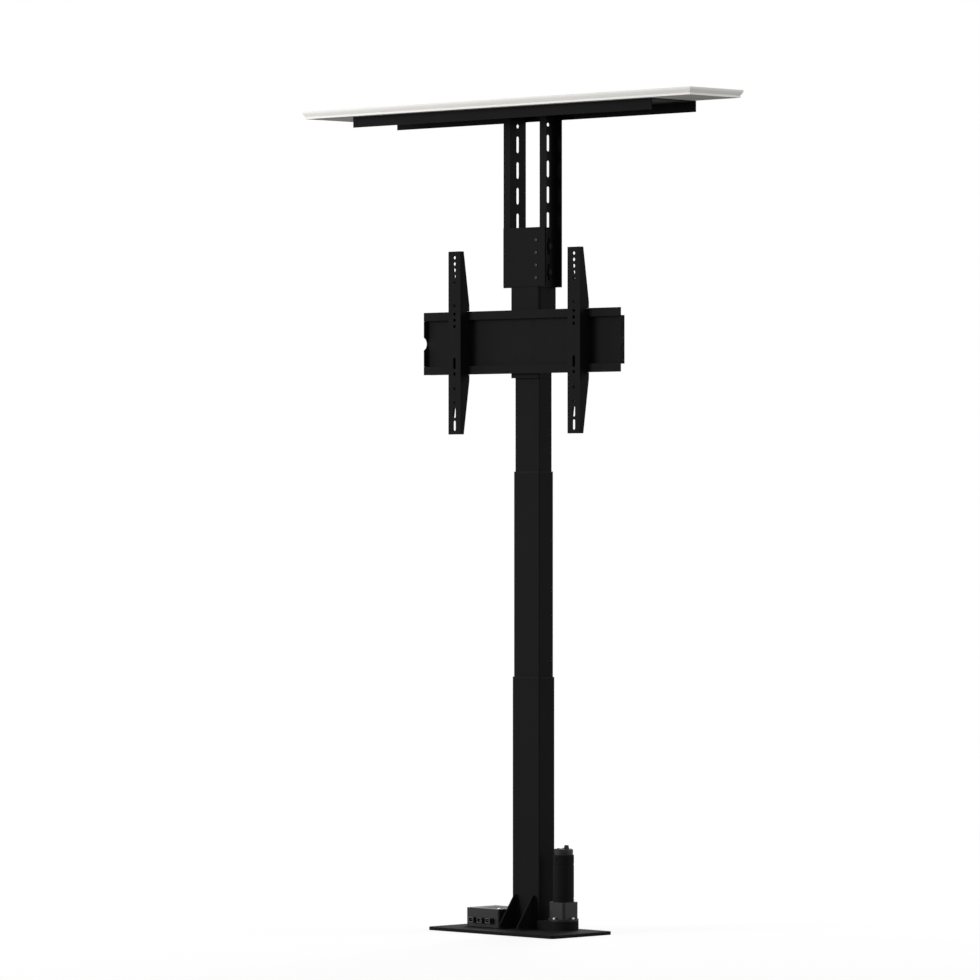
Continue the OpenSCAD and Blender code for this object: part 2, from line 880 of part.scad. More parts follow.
module head_sleeve() {
    color(black_coat) difference() {
        ring(head_w, head_d, head_r, head_in_w, head_in_d, head_r - head_wall, head_bottom, head_top);
        span([-head_w, head_front + head_wall, head_bottom - cut],
            [head_w, head_d, head_bottom + head_skirt]);
        at_plate_bolts() bar_y(plate_bolt_d + 2 * fit, head_front - cut, head_front + head_wall + cut);
        at_guide_screws() bar_y(guide_screw_d + 2 * fit, head_front - cut, head_front + head_wall + cut);
        at_riser_bolts() bar_x(riser_bolt_d + 2 * fit, -head_w, head_w);
        at_cap_screws() bar_y(cap_screw_d + 2 * fit, 0, head_d);
    }
}

module head_cap() {
    cap_w = head_in_w - 2 * fit;
    cap_d = head_in_d - 2 * fit;
    color(black_coat) difference() {
        round_block(cap_w, cap_d, head_r - head_wall, inner_top, inner_top + cap_t);
        at_cap_screws() bar_y(cap_screw_d + 2 * fit, head_in_d / 2 - cap_hole_deep, head_d);
    }
}

module head_cap_screws() {
    color(zinc) at_cap_screws() mirror([0, 1, 0])
        screw_y(cap_screw_d, cap_head_d, cap_screw_d / 2, head_front, head_front + cap_screw_l);
}

module guide_plate() {
    y0 = head_front - guide_t;
    half = riser_out - guide_inset;
    color(black_coat) difference() {
        span([-half, y0, guide_bottom], [half, head_front, guide_bottom + guide_h]);
        at_guide_screws() bar_y(guide_screw_d + 2 * fit, y0 - cut, head_front + cut);
    }
}

module guide_screws() {
    color(zinc) at_guide_screws()
        screw_y(guide_screw_d, 1.6 * guide_screw_d, 0.4 * guide_screw_d,
            head_front - guide_t, head_front + head_wall);
}

// One lipped rail of the bracket: s is 1 for the upper and -1 for the lower
module rail(s) {
    edge = plate_mid + s * plate_h / 2;
    inner_edge = edge - s * plate_t;
    lip_end = edge - s * lip_h;
    half = plate_w / 2;
    span([-half + relief, rail_front, min(edge, inner_edge)],
        [half - relief, head_front, max(edge, inner_edge)]);
    span([-half, rail_front, min(edge, lip_end)], [half, lip_back, max(edge, lip_end)]);
}

// End tab of the bracket: s is 1 for the right end and -1 for the left
module end_tab(s) {
    x0 = s * plate_w / 2;
    x1 = x0 - s * plate_t;
    corner = tab_h / 2 - plate_h / 2 + lip_h + tab_clear;
    difference() {
        span([min(x0, x1), rail_front, plate_mid - tab_h / 2],
            [max(x0, x1), head_front, plate_mid + tab_h / 2]);
        for (z = [-1, 1]) span([-plate_w, rail_front - cut, plate_mid + z * tab_h / 2 - corner],
            [plate_w, lip_back + tab_clear, plate_mid + z * tab_h / 2 + corner]);
        translate([0, rail_front - notch_r + notch_deep, plate_mid]) bar_x(2 * notch_r, -plate_w, plate_w);
    }
}

module tv_plate() {
    half = plate_w / 2;
    color(black_coat) difference() {
        union() {
            span([-half + relief, web_front, plate_bottom], [half - relief, head_front, plate_top]);
            span([-half, web_front, plate_mid - tab_h / 2], [half, head_front, plate_mid + tab_h / 2]);
            for (s = [-1, 1]) {
                rail(s);
                end_tab(s);
            }
        }
        at_plate_bolts() {
            bar_y(plate_bolt_d + 2 * fit, web_front - cut, head_front + cut);
            bar_y(bolt_head_d + 2 * fit, web_front - cut, web_front + bolt_head_h);
        }
    }
}

// Flat heads, sunk flush in the web
module tv_plate_bolts() {
    color(zinc) at_plate_bolts()
        screw_y(plate_bolt_d, bolt_head_d, bolt_head_h, web_front + bolt_head_h, head_front + head_wall);
}

module riser_bolts() {
    face = riser_in + riser_t + axial_play + washer_t;
    color(zinc) for (s = [0, 1]) mirror([s, 0, 0]) at_riser_bolts() {
        bar_x(riser_bolt_d, head_w / 2 - head_wall, face + cut);
        translate([face, 0, 0]) rotate([0, 90, 0])
            cylinder(d = hex_ratio * riser_head_d, h = riser_head_h, $fn = 6);
    }
}

module riser_washers() {
    face = riser_in + riser_t + axial_play;
    color(zinc) for (s = [0, 1]) mirror([s, 0, 0]) at_riser_bolts() difference() {
        bar_x(washer_d, face, face + washer_t);
        bar_x(riser_bolt_d + 2 * fit, face - cut, face + washer_t + cut);
    }
}

// Channel that opens outwards, drawn on the right
module riser() {
    color(black_coat) difference() {
        span([riser_in, riser_front, riser_bottom], [riser_out, riser_front + riser_depth, riser_top]);
        span([riser_in + riser_t, riser_front + riser_t, riser_bottom - cut],
            [riser_out + cut, riser_front + riser_depth - riser_t, riser_top + cut]);
        for (i = riser_slots) translate([0, riser_mid_y, riser_bottom + slot_start + i * slot_pitch])
            slot_x(slot_w, slot_l, riser_in - cut, riser_in + riser_t + cut);
        if (end_hole_z - slot_end > slot_w) translate([0, riser_mid_y, end_hole_z])
            bar_x(slot_w, riser_in - cut, riser_in + riser_t + cut);
    }
}

module left_riser() {
    mirror([1, 0, 0]) riser();
}

module right_riser() {
    riser();
}

// Places of the bolts between crown and tray
module at_tray_bolts() {
    for (x = [-1, 1], y = [-1, 1])
        translate([x * tray_bolt_x, riser_mid_y + y * tray_bolt_y, 0]) children();
}

module riser_crown() {
    color(black_coat) difference() {
        span([-riser_out, riser_front, riser_top], [riser_out, riser_front + riser_depth, crown_top]);
        at_tray_bolts() bar(tray_bolt_d + 2 * fit, riser_top - cut, crown_top + cut);
    }
}

// Places of the lid screws, just inside the tray's flanges
module at_lid_screws() {
    for (x = lid_screw_x, y = [-tray_front + lid_screw_inset, tray_back - lid_screw_inset])
        translate([x, y, 0]) children();
}

module lid_tray() {
    half = tray_w / 2;
    color(black_coat) difference() {
        span([-half, -tray_front, tray_top - tray_h], [half, tray_back, tray_top]);
        span([-half - cut, -tray_front + tray_t, tray_top - tray_h - cut],
            [half + cut, tray_back - tray_t, tray_top - tray_t]);
        at_tray_bolts() bar(tray_bolt_d + 2 * fit, crown_top - cut, tray_top + cut);
        at_lid_screws() bar(lid_screw_d + 2 * fit, crown_top - cut, tray_top + cut);
    }
}

module tray_bolts() {
    color(zinc) at_tray_bolts() {
        bar(tray_bolt_d, riser_top - cut, tray_top);
        translate([0, 0, riser_top - tray_head_h])
            cylinder(d = hex_ratio * tray_head_d, h = tray_head_h, $fn = 6);
    }
}

// Right half of the lid's section, from its lower edge up, at a half width
function lid_edge(half) = concat(
    [[half - lid_round + lid_ledge, 0], [half - lid_round + lid_ledge, lid_foot]],
    [for (i = [0 : round_steps]) let (u = i / round_steps)
        [half - lid_round * pow(1 - u, round_power), lid_foot + lid_round_h * u]],
    [[half, lid_t]]);

// Long prism with that section on both sides
module lid_prism(half, l) {
    right = lid_edge(half);
    left = [for (i = [len(right) - 1 : -1 : 0]) [-right[i][0], right[i][1]]];
    rotate([90, 0, 90]) translate([0, 0, -l / 2]) linear_extrude(l) polygon(concat(right, left));
}

module lid_panel() {
    lid_d = lid_front + lid_back;
    mid_y = (lid_back - lid_front) / 2;
    color(lid_white) difference() {
        translate([0, mid_y, tray_top]) intersection() {
            lid_prism(lid_d / 2, lid_w);
            rotate(90) lid_prism(lid_w / 2, lid_d);
        }
        at_lid_screws() bar(lid_screw_d + 2 * fit, tray_top - cut, tray_top + lid_screw_deep);
    }
}

module lid_screws() {
    color(zinc) at_lid_screws() {
        bar(lid_screw_d, crown_top - cut, tray_top + lid_screw_deep - 1);
        bar(lid_head_d, crown_top - lid_head_h, crown_top);
    }
}

// Side of an arm in the YZ plane, with hooks that reach behind the rail lips
module arm_side() {
    front = arm_front;
    end_y = arm_front + arm_end;
    rest_y = rail_front - arm_clear;
    lip_y = lip_back + arm_clear;
    deep_y = web_front - hook_clear;
    half = arm_h / 2;
    shoulder = plate_h / 2 + arm_shoulder;
    tip = hook_top + hook_h;
    over_z = plate_h / 2 + arm_clear;
    over_y = rest_y + arm_over;
    upper = [[deep_y, tip], [lip_y, tip], [lip_y, hook_top], [rest_y, hook_top], [rest_y, over_z],
        [over_y, over_z], [over_y, shoulder], [end_y, half], [front, half]];
    lower = [for (i = [len(upper) - 1 : -1 : 0]) [upper[i][0], -upper[i][1]]];
    rotate([90, 0, 90]) linear_extrude(arm_t) polygon(concat(upper, lower));
}

// Arm with its centre on X = 0
module arm() {
    half = arm_h / 2;
    tab_z = -plate_h / 2 - lock_drop;
    hole_y0 = arm_front - cut;
    hole_y1 = arm_front + arm_t + cut;
    difference() {
        union() {
            span([-arm_w / 2, arm_front, -half], [arm_w / 2, arm_front + arm_t, half]);
            for (x = [-arm_w / 2, arm_w / 2 - arm_t]) translate([x, 0, 0]) arm_side();
            span([-arm_w / 2, arm_front, tab_z], [arm_w / 2, rail_front - arm_clear, tab_z + lock_tab_t]);
            span([-lock_tongue, arm_front, tab_z], [lock_tongue, lock_y + lock_d, tab_z + lock_tab_t]);
        }
        for (i = arm_top_rows) translate([0, 0, half - arm_top_edge - i * hole_pitch])
            bar_y(arm_hole_d, hole_y0, hole_y1);
        for (i = arm_mid_rows) translate([0, 0, arm_mid_first + i * hole_pitch])
            bar_y(arm_hole_d, hole_y0, hole_y1);
        for (s = [-1, 1]) translate([0, 0, s * pattern_h / 2 - pattern_drop])
            bar_y(arm_hole_d, hole_y0, hole_y1);
        for (drop = [arm_low_hole, arm_last_hole]) translate([0, 0, -drop])
            bar_y(arm_hole_d, hole_y0, hole_y1);
        for (i = [0, 1]) translate([0, 0, -half + arm_slot_edge + i * arm_slot_pitch])
            slot_y(arm_hole_d, arm_slot_l, hole_y0, hole_y1);
        translate([0, 0, -arm_mid_slot]) slot_y(arm_hole_d, arm_mid_slot_l, hole_y0, hole_y1);
        translate([0, lock_y, 0]) bar(lock_d + 2 * fit, tab_z - cut, tab_z + lock_tab_t + cut);
    }
}

// Lock screw under the lower rail, with its grooved knob
module arm_lock() {
    tab_z = -plate_h / 2 - lock_drop;
    knob_top = tab_z - lock_neck;
    grooves = 10;
    groove_d = 3;
    groove_at = lock_knob_d / 2 + groove_d / 5;
    translate([0, lock_y, 0]) {
        bar(lock_d, knob_top - cut, -plate_h / 2 - axial_play);
        difference() {
            bar(lock_knob_d, knob_top - lock_knob_h, knob_top);
            for (i = [0 : grooves - 1]) rotate(i * 360 / grooves) translate([groove_at, 0, 0])
                bar(groove_d, knob_top - lock_knob_h - cut, knob_top + cut);
        }
    }
}

// Places an arm or its lock on the rails, on the side s
module on_rails(s) {
    translate([s * arm_spacing / 2, 0, arm_mid]) children();
}

module left_arm() {
    color(black_coat) on_rails(-1) arm();
}

module right_arm() {
    color(black_coat) on_rails(1) arm();
}

module left_arm_lock() {
    color(plastic) on_rails(-1) arm_lock();
}

module right_arm_lock() {
    color(plastic) on_rails(1) arm_lock();
}

base_plate();
base_gussets();
outer_tube();
outer_collar();
thrust_bearing();
drive_belt();
belt_cover();
gearbox_housing();
gearbox_screws();
motor_can();
motor_end_cap();
control_box_base();
control_box_lid();
control_board();
control_sockets();
control_box_screws();
lower_screw();
screw_pulley();
motor_shaft();
motor_pulley();
middle_tube();
middle_collar();
middle_glide();
middle_nut_block();
middle_nut();
upper_bearing();
upper_screw();
inner_tube();
inner_glide();
inner_nut_block();
inner_nut();
head_sleeve();
head_cap();
head_cap_screws();
guide_plate();
guide_screws();
tv_plate();
tv_plate_bolts();
riser_bolts();
riser_washers();
left_riser();
right_riser();
riser_crown();
lid_tray();
tray_bolts();
lid_panel();
lid_screws();
left_arm();
left_arm_lock();
right_arm();
right_arm_lock();
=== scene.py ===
"""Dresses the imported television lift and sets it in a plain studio.

Sizes are in millimetres. The frame's objects are in metres, with the television side towards -Y.
"""

from __future__ import annotations

import json
import logging
import math
from dataclasses import dataclass, replace
from enum import Enum
from typing import Any, Callable, Sequence

import bpy
from mathutils import Matrix, Vector

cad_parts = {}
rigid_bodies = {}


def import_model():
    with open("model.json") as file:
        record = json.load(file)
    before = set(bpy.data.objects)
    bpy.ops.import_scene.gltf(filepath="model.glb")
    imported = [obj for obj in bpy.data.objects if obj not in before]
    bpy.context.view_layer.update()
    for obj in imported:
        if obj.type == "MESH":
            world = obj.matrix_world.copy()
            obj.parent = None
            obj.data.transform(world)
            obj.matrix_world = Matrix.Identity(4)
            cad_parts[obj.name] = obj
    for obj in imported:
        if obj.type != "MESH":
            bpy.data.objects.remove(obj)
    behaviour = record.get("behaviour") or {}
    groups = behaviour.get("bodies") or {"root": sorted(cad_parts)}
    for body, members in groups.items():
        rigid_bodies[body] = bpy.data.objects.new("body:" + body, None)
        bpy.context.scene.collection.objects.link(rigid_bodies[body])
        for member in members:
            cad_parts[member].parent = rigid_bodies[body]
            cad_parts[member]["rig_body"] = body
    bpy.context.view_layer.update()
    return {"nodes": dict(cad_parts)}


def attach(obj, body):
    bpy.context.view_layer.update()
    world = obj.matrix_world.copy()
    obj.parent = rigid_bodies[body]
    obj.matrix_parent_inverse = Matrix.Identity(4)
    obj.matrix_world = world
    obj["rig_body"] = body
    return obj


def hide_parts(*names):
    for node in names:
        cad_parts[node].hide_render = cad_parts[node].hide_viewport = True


LOG = logging.getLogger("television_lift")
MM = 0.001
# Two points closer than this are one point
MERGE_MM = 0.002
# Faces that differ by less than this are one flat face
FLAT_DEG = 0.5
# Edges sharper than this are broken by a bevel, and shaded sharp
SHARP_DEG = 30.0
# Faces across a broken edge and across a rounded one
BROKEN = 2
ROUNDED = 3
# A unit vector with a larger part along an axis runs along it, and one with a smaller part runs across it
ALONG = 0.9
ACROSS = 0.1
# At this weight the largest face alone sets the normal of a corner
LARGEST_FACE = 100
# Sides of a hexagon
HEX = 6
# A wave texture of scale 1 repeats at this many units
WAVE_PERIOD = math.pi / 10
# The sRGB curve is a straight line up to its foot, and a shifted power above it
SRGB_FOOT = 0.04045
SRGB_SLOPE = 12.92
SRGB_SHIFT = 0.055
SRGB_POWER = 2.4
BYTE_MAX = 255

Tree = bpy.types.NodeTree
Socket = bpy.types.NodeSocket
Point = tuple[float, float, float]
Profile = Sequence[tuple[float, float]]

FRONT: Point = (0.0, -1.0, 0.0)
BACK: Point = (0.0, 1.0, 0.0)
RIGHT: Point = (1.0, 0.0, 0.0)
LEFT: Point = (-1.0, 0.0, 0.0)
UP: Point = (0.0, 0.0, 1.0)
DOWN: Point = (0.0, 0.0, -1.0)


class Pick(Enum):
    """What a selection is made of."""

    FACE = "FACE"
    EDGE = "EDGE"
    VERT = "VERT"


class Drive(Enum):
    """How a screw is turned."""

    HEX_SOCKET = "hex socket"
    CROSS = "cross recess"
    HEX_HEAD = "hex head"


def linear(code: str) -> tuple[float, float, float, float]:
    """Turns an sRGB hex colour to linear light.

    Args:
        code: Colour such as "#1A1A1B".

    Returns:
        Linear red, green, blue and an alpha of one.
    """
    channels = [int(code[i : i + 2], 16) / BYTE_MAX for i in (1, 3, 5)]
    curve = [((c + SRGB_SHIFT) / (1 + SRGB_SHIFT)) ** SRGB_POWER for c in channels]
    light = [c / SRGB_SLOPE if c <= SRGB_FOOT else above for c, above in zip(channels, curve)]
    return light[0], light[1], light[2], 1.0


def per_metre(size_mm: float) -> float:
    """Gives the texture scale whose grain is that wide, in millimetres."""
    return 1.0 / (size_mm * MM)


def add_node(
    tree: Tree,
    kind: str,
    settings: dict[str, Any] | None = None,
    links: dict[str | int, Socket] | None = None,
) -> bpy.types.Node:
    """Adds a node with its settings and links.

    Args:
        tree: Node tree that gets the node.
        kind: Blender's name of the node's type, after its ShaderNode.
        settings: Values of its sockets or its own properties.
        links: Sockets that feed its inputs, by the input's name or number.

    Returns:
        The new node.
    """
    node = tree.nodes.new(f"ShaderNode{kind}")
    for name, value in (settings or {}).items():
        if name in node.inputs:
            node.inputs[name].default_value = value
        else:
            setattr(node, name, value)
    for name, source in (links or {}).items():
        tree.links.new(source, node.inputs[name])
    return node


@dataclass(frozen=True)
class Finish:
    """A surface as it was made: its shades, its gloss and its relief."""

    name: str
    slot: str
    shades: tuple[str, str]
    rough: tuple[float, float]
    cloud_mm: float
    grain_mm: float = 1.0
    relief_mm: float = 0.01
    metal: float = 0.0
    gloss: float = 0.5
    clear_coat: float = 0.0
    cloud_detail: float = 3.0
    cloud_span: tuple[float, float] = (0.3, 0.7)
    grain_detail: float = 2.0

    def shade(self, tree: Tree, place: Socket) -> Socket:
        """Gives the soft clouds that run from the first shade to the second.

        Args:
            tree: Node tree of the material.
            place: Object coordinates.

        Returns:
            A value from 0 to 1.
        """
        settings = {"Scale": per_metre(self.cloud_mm), "Detail": self.cloud_detail}
        cloud = add_node(tree, "TexNoise", settings, {"Vector": place})
        spread = {"From Min": self.cloud_span[0], "From Max": self.cloud_span[1]}
        return add_node(tree, "MapRange", spread, {"Value": cloud.outputs[0]}).outputs[0]

    def relief(self, tree: Tree, place: Socket) -> Socket:
        """Gives the height of the fine surface: here the soft swell of a sprayed film."""
        settings = {"Scale": per_metre(self.grain_mm), "Detail": self.grain_detail}
        return add_node(tree, "TexNoise", settings, {"Vector": place}).outputs[0]

    def material(self) -> bpy.types.Material:
        """Builds the material once.

        Returns:
            The material of this finish.
        """
        known = bpy.data.materials.get(self.name)
        if known:
            return known
        made = bpy.data.materials.new(self.name)
        made.use_nodes = True
        tree = made.node_tree
        tree.nodes.clear()
        place = add_node(tree, "TexCoord").outputs["Object"]
        cloud = self.shade(tree, place)
        ends = {"Color1": linear(self.shades[0]), "Color2": linear(self.shades[1])}
        colour = add_node(tree, "MixRGB", ends, {"Fac": cloud})
        span = {"To Min": self.rough[0], "To Max": self.rough[1]}
        rough = add_node(tree, "MapRange", span, {"Value": cloud})
        height = {"Height": self.relief(tree, place)}
        bump = add_node(tree, "Bump", {"Strength": 1.0, "Distance": self.relief_mm * MM}, height)
        body = {"Metallic": self.metal, "Specular IOR Level": self.gloss, "Coat Weight": self.clear_coat}
        surface = {
            "Base Color": colour.outputs["Color"],
            "Roughness": rough.outputs["Result"],
            "Normal": bump.outputs["Normal"],
        }
        shader = add_node(tree, "BsdfPrincipled", body, surface)
        add_node(tree, "OutputMaterial", None, {"Surface": shader.outputs["BSDF"]})
        return made


@dataclass(frozen=True)
class Turned(Finish):
    """A lathe finish: fine tool marks that run round the upright axis."""

    waver: float = 0.6

    def relief(self, tree: Tree, place: Socket) -> Socket:
        """Gives the tool marks as bands along Z."""
        settings = {
            "bands_direction": "Z",
            "Scale": WAVE_PERIOD * per_metre(self.grain_mm),
            "Distortion": self.waver,
        }
        return add_node(tree, "TexWave", settings, {"Vector": place}).outputs["Fac"]


@dataclass(frozen=True)
class Moulded(Finish):
    """A spark eroded mould's texture: a skin of small rounded grains."""

    def relief(self, tree: Tree, place: Socket) -> Socket:
        """Gives the grains as small cells."""
        settings = {"feature": "SMOOTH_F1", "Scale": per_metre(self.grain_mm)}
        return add_node(tree, "TexVoronoi", settings, {"Vector": place}).outputs["Distance"]


@dataclass(frozen=True)
class Tracked(Finish):
    """A circuit board: copper tracks show paler through the solder mask."""

    track_w: float = 0.06
    track_blur: float = 0.1
    track_l: float = 2.2
    track_step: float = 0.6

    def shade(self, tree: Tree, place: Socket) -> Socket:
        """Gives the tracks as the joints of a running bond."""
        settings = {
            "Scale": per_metre(self.cloud_mm),
            "Mortar Size": self.track_w,
            "Mortar Smooth": self.track_blur,
            "Brick Width": self.track_l,
            "Row Height": self.track_step,
        }
        return add_node(tree, "TexBrick", settings, {"Vector": place}).outputs["Fac"]


# Polyester powder coat on steel, baked: deep black, low sheen, a fine orange peel.
# The real peel is under 1 mm wide and is drawn wider so that it shows.
POWDER = Finish(
    "black_polyester_powder_coat",
    "black_coat",
    shades=("#171718", "#1A1A1B"),
    rough=(0.68, 0.8),
    cloud_mm=70.0,
    grain_mm=2.4,
    relief_mm=0.05,
    gloss=0.03,
)
# White satin lacquer, sprayed on fibreboard: a faint warm white, a soft sheen, a slight swell.
LACQUER = Finish(
    "white_satin_lacquer_on_fibreboard",
    "lid_white",
    shades=("#E8E7E3", "#ECEBE7"),
    rough=(0.45, 0.55),
    cloud_mm=180.0,
    grain_mm=5.0,
    relief_mm=0.04,
    gloss=0.2,
)
# Sealing primer on the panel's unseen face: the lacquer's white made a shade darker as painted shade
# under the lid, matt, with the fibre just felt.
PRIMER_WITH_PAINTED_SHADE = Finish(
    "matt_primer_with_painted_shade",
    "lid_white",
    shades=("#D6D5D0", "#DCDBD7"),
    rough=(0.8, 0.9),
    cloud_mm=60.0,
    grain_mm=1.6,
    relief_mm=0.03,
    gloss=0.06,
)
# Bright zinc plate on rolled steel: pale blue grey with faint straw patches.
ZINC = Finish(
    "bright_zinc_plated_steel",
    "zinc_plate",
    shades=("#A9ADB3", "#C3C2BC"),
    rough=(0.26, 0.42),
    cloud_mm=5.0,
    grain_mm=0.8,
    metal=1.0,
)
# Black passivated zinc on rolled steel: dark, with a faint metal sheen.
BLACK_ZINC = replace(
    ZINC, name="black_passivated_zinc_steel", shades=("#232427", "#2C2C2F"), rough=(0.34, 0.5)
)
# Black oxide on bolts: a thin oiled skin, drawn darker than the coat round it; this extra darkness is
# painted shade, so that the bolts deep in the risers' channels go as dark as the channels' shade.
BLACK_OXIDE_WITH_PAINTED_SHADE = replace(
    ZINC,
    name="oiled_black_oxide_with_painted_shade",
    shades=("#0A0A0B", "#0F0F10"),
    rough=(0.5, 0.65),
    metal=0.0,
    gloss=0.03,
)
# Ground bar steel: cool grey, fine rings from the grinding wheel, drawn coarse enough to show.
GROUND = Turned(
    "ground_bar_steel",
    "ground_steel",
    shades=("#8F9297", "#A2A4A8"),
    rough=(0.22, 0.34),
    cloud_mm=24.0,
    grain_mm=0.9,
    metal=1.0,
)
# Machined aluminium: light and clean, turning marks on every face.
ALUMINIUM = Turned(
    "machined_aluminium",
    "pulley_metal",
    shades=("#C4C6C9", "#D2D3D5"),
    rough=(0.24, 0.36),
    cloud_mm=12.0,
    grain_mm=0.6,
    metal=1.0,
)
# Glass filled nylon: dull near black, slightly mottled where the fibres lie.
NYLON = Finish(
    "glass_filled_nylon",
    "nylon_bush",
    shades=("#131314", "#19191B"),
    rough=(0.5, 0.66),
    cloud_mm=9.0,
    grain_mm=1.4,
    relief_mm=0.02,
    gloss=0.04,
)
# Cast and turned bronze: warm, with tool marks round the bore.
BRONZE = Turned(
    "turned_bronze",
    "nut_bronze",
    shades=("#A67C3E", "#BC9250"),
    rough=(0.26, 0.4),
    cloud_mm=10.0,
    grain_mm=0.7,
    relief_mm=0.012,
    metal=1.0,
)
# ABS from a spark eroded mould: dark charcoal, matt, a skin of small grains.
ABS = Moulded(
    "moulded_abs_spark_grain",
    "black_abs",
    shades=("#161617", "#1C1C1E"),
    rough=(0.5, 0.62),
    cloud_mm=40.0,
    grain_mm=1.3,
    relief_mm=0.05,
    gloss=0.2,
)
# Fibreglass board under a green solder mask, with the tracks a little paler.
BOARD = Tracked(
    "solder_masked_fibreglass",
    "circuit_board",
    shades=("#0F4A2A", "#1F6E42"),
    rough=(0.28, 0.36),
    cloud_mm=6.0,
)
# Nylon connector shells: black, a little glossier than the box.
SHELL = Finish(
    "moulded_nylon_connector",
    "socket_plastic",
    shades=("#202023", "#29292C"),
    rough=(0.38, 0.5),
    cloud_mm=7.0,
)
# Neoprene with a nylon face: soft black with no sheen.
NEOPRENE = Finish(
    "moulded_neoprene",
    "belt_rubber",
    shades=("#121213", "#1A1A1B"),
    rough=(0.74, 0.86),
    cloud_mm=5.0,
    grain_mm=0.7,
    relief_mm=0.03,
    gloss=0.3,
)
# Tinned brass contacts: bright, faintly yellow.
CONTACT = Finish(
    "tinned_brass_contact",
    "ground_steel",
    shades=("#B9B39A", "#CFCBB8"),
    rough=(0.2, 0.3),
    cloud_mm=2.0,
    grain_mm=0.4,
    relief_mm=0.004,
    metal=1.0,
)
# Cast acrylic lamp lens: clear green, glossy, with a clear skin.
LENS = Finish(
    "green_acrylic_lens",
    "socket_plastic",
    shades=("#2E8B4A", "#3BA55B"),
    rough=(0.08, 0.14),
    cloud_mm=3.0,
    relief_mm=0.002,
    clear_coat=0.5,
)


@dataclass(frozen=True)
class Box:
    """The room that a solid takes up, in millimetres."""

    low: Vector
    high: Vector

    @classmethod
    def around(cls, mesh: bpy.types.Mesh) -> Box:
        """Measures a mesh, which is in metres."""
        axes = list(zip(*(point.co / MM for point in mesh.vertices)))
        return cls(Vector([min(values) for values in axes]), Vector([max(values) for values in axes]))

    @property
    def middle(self) -> Vector:
        """Gives the middle of the box."""
        return (self.low + self.high) / 2

    @property
    def size(self) -> Vector:
        """Gives the lengths of its sides."""
        return self.high - self.low

    def side(self, axes: Sequence[Point]) -> Point:
        """Gives the one of several axes that the box lies furthest along."""
        return max(axes, key=lambda axis: self.middle.dot(Vector(axis)))


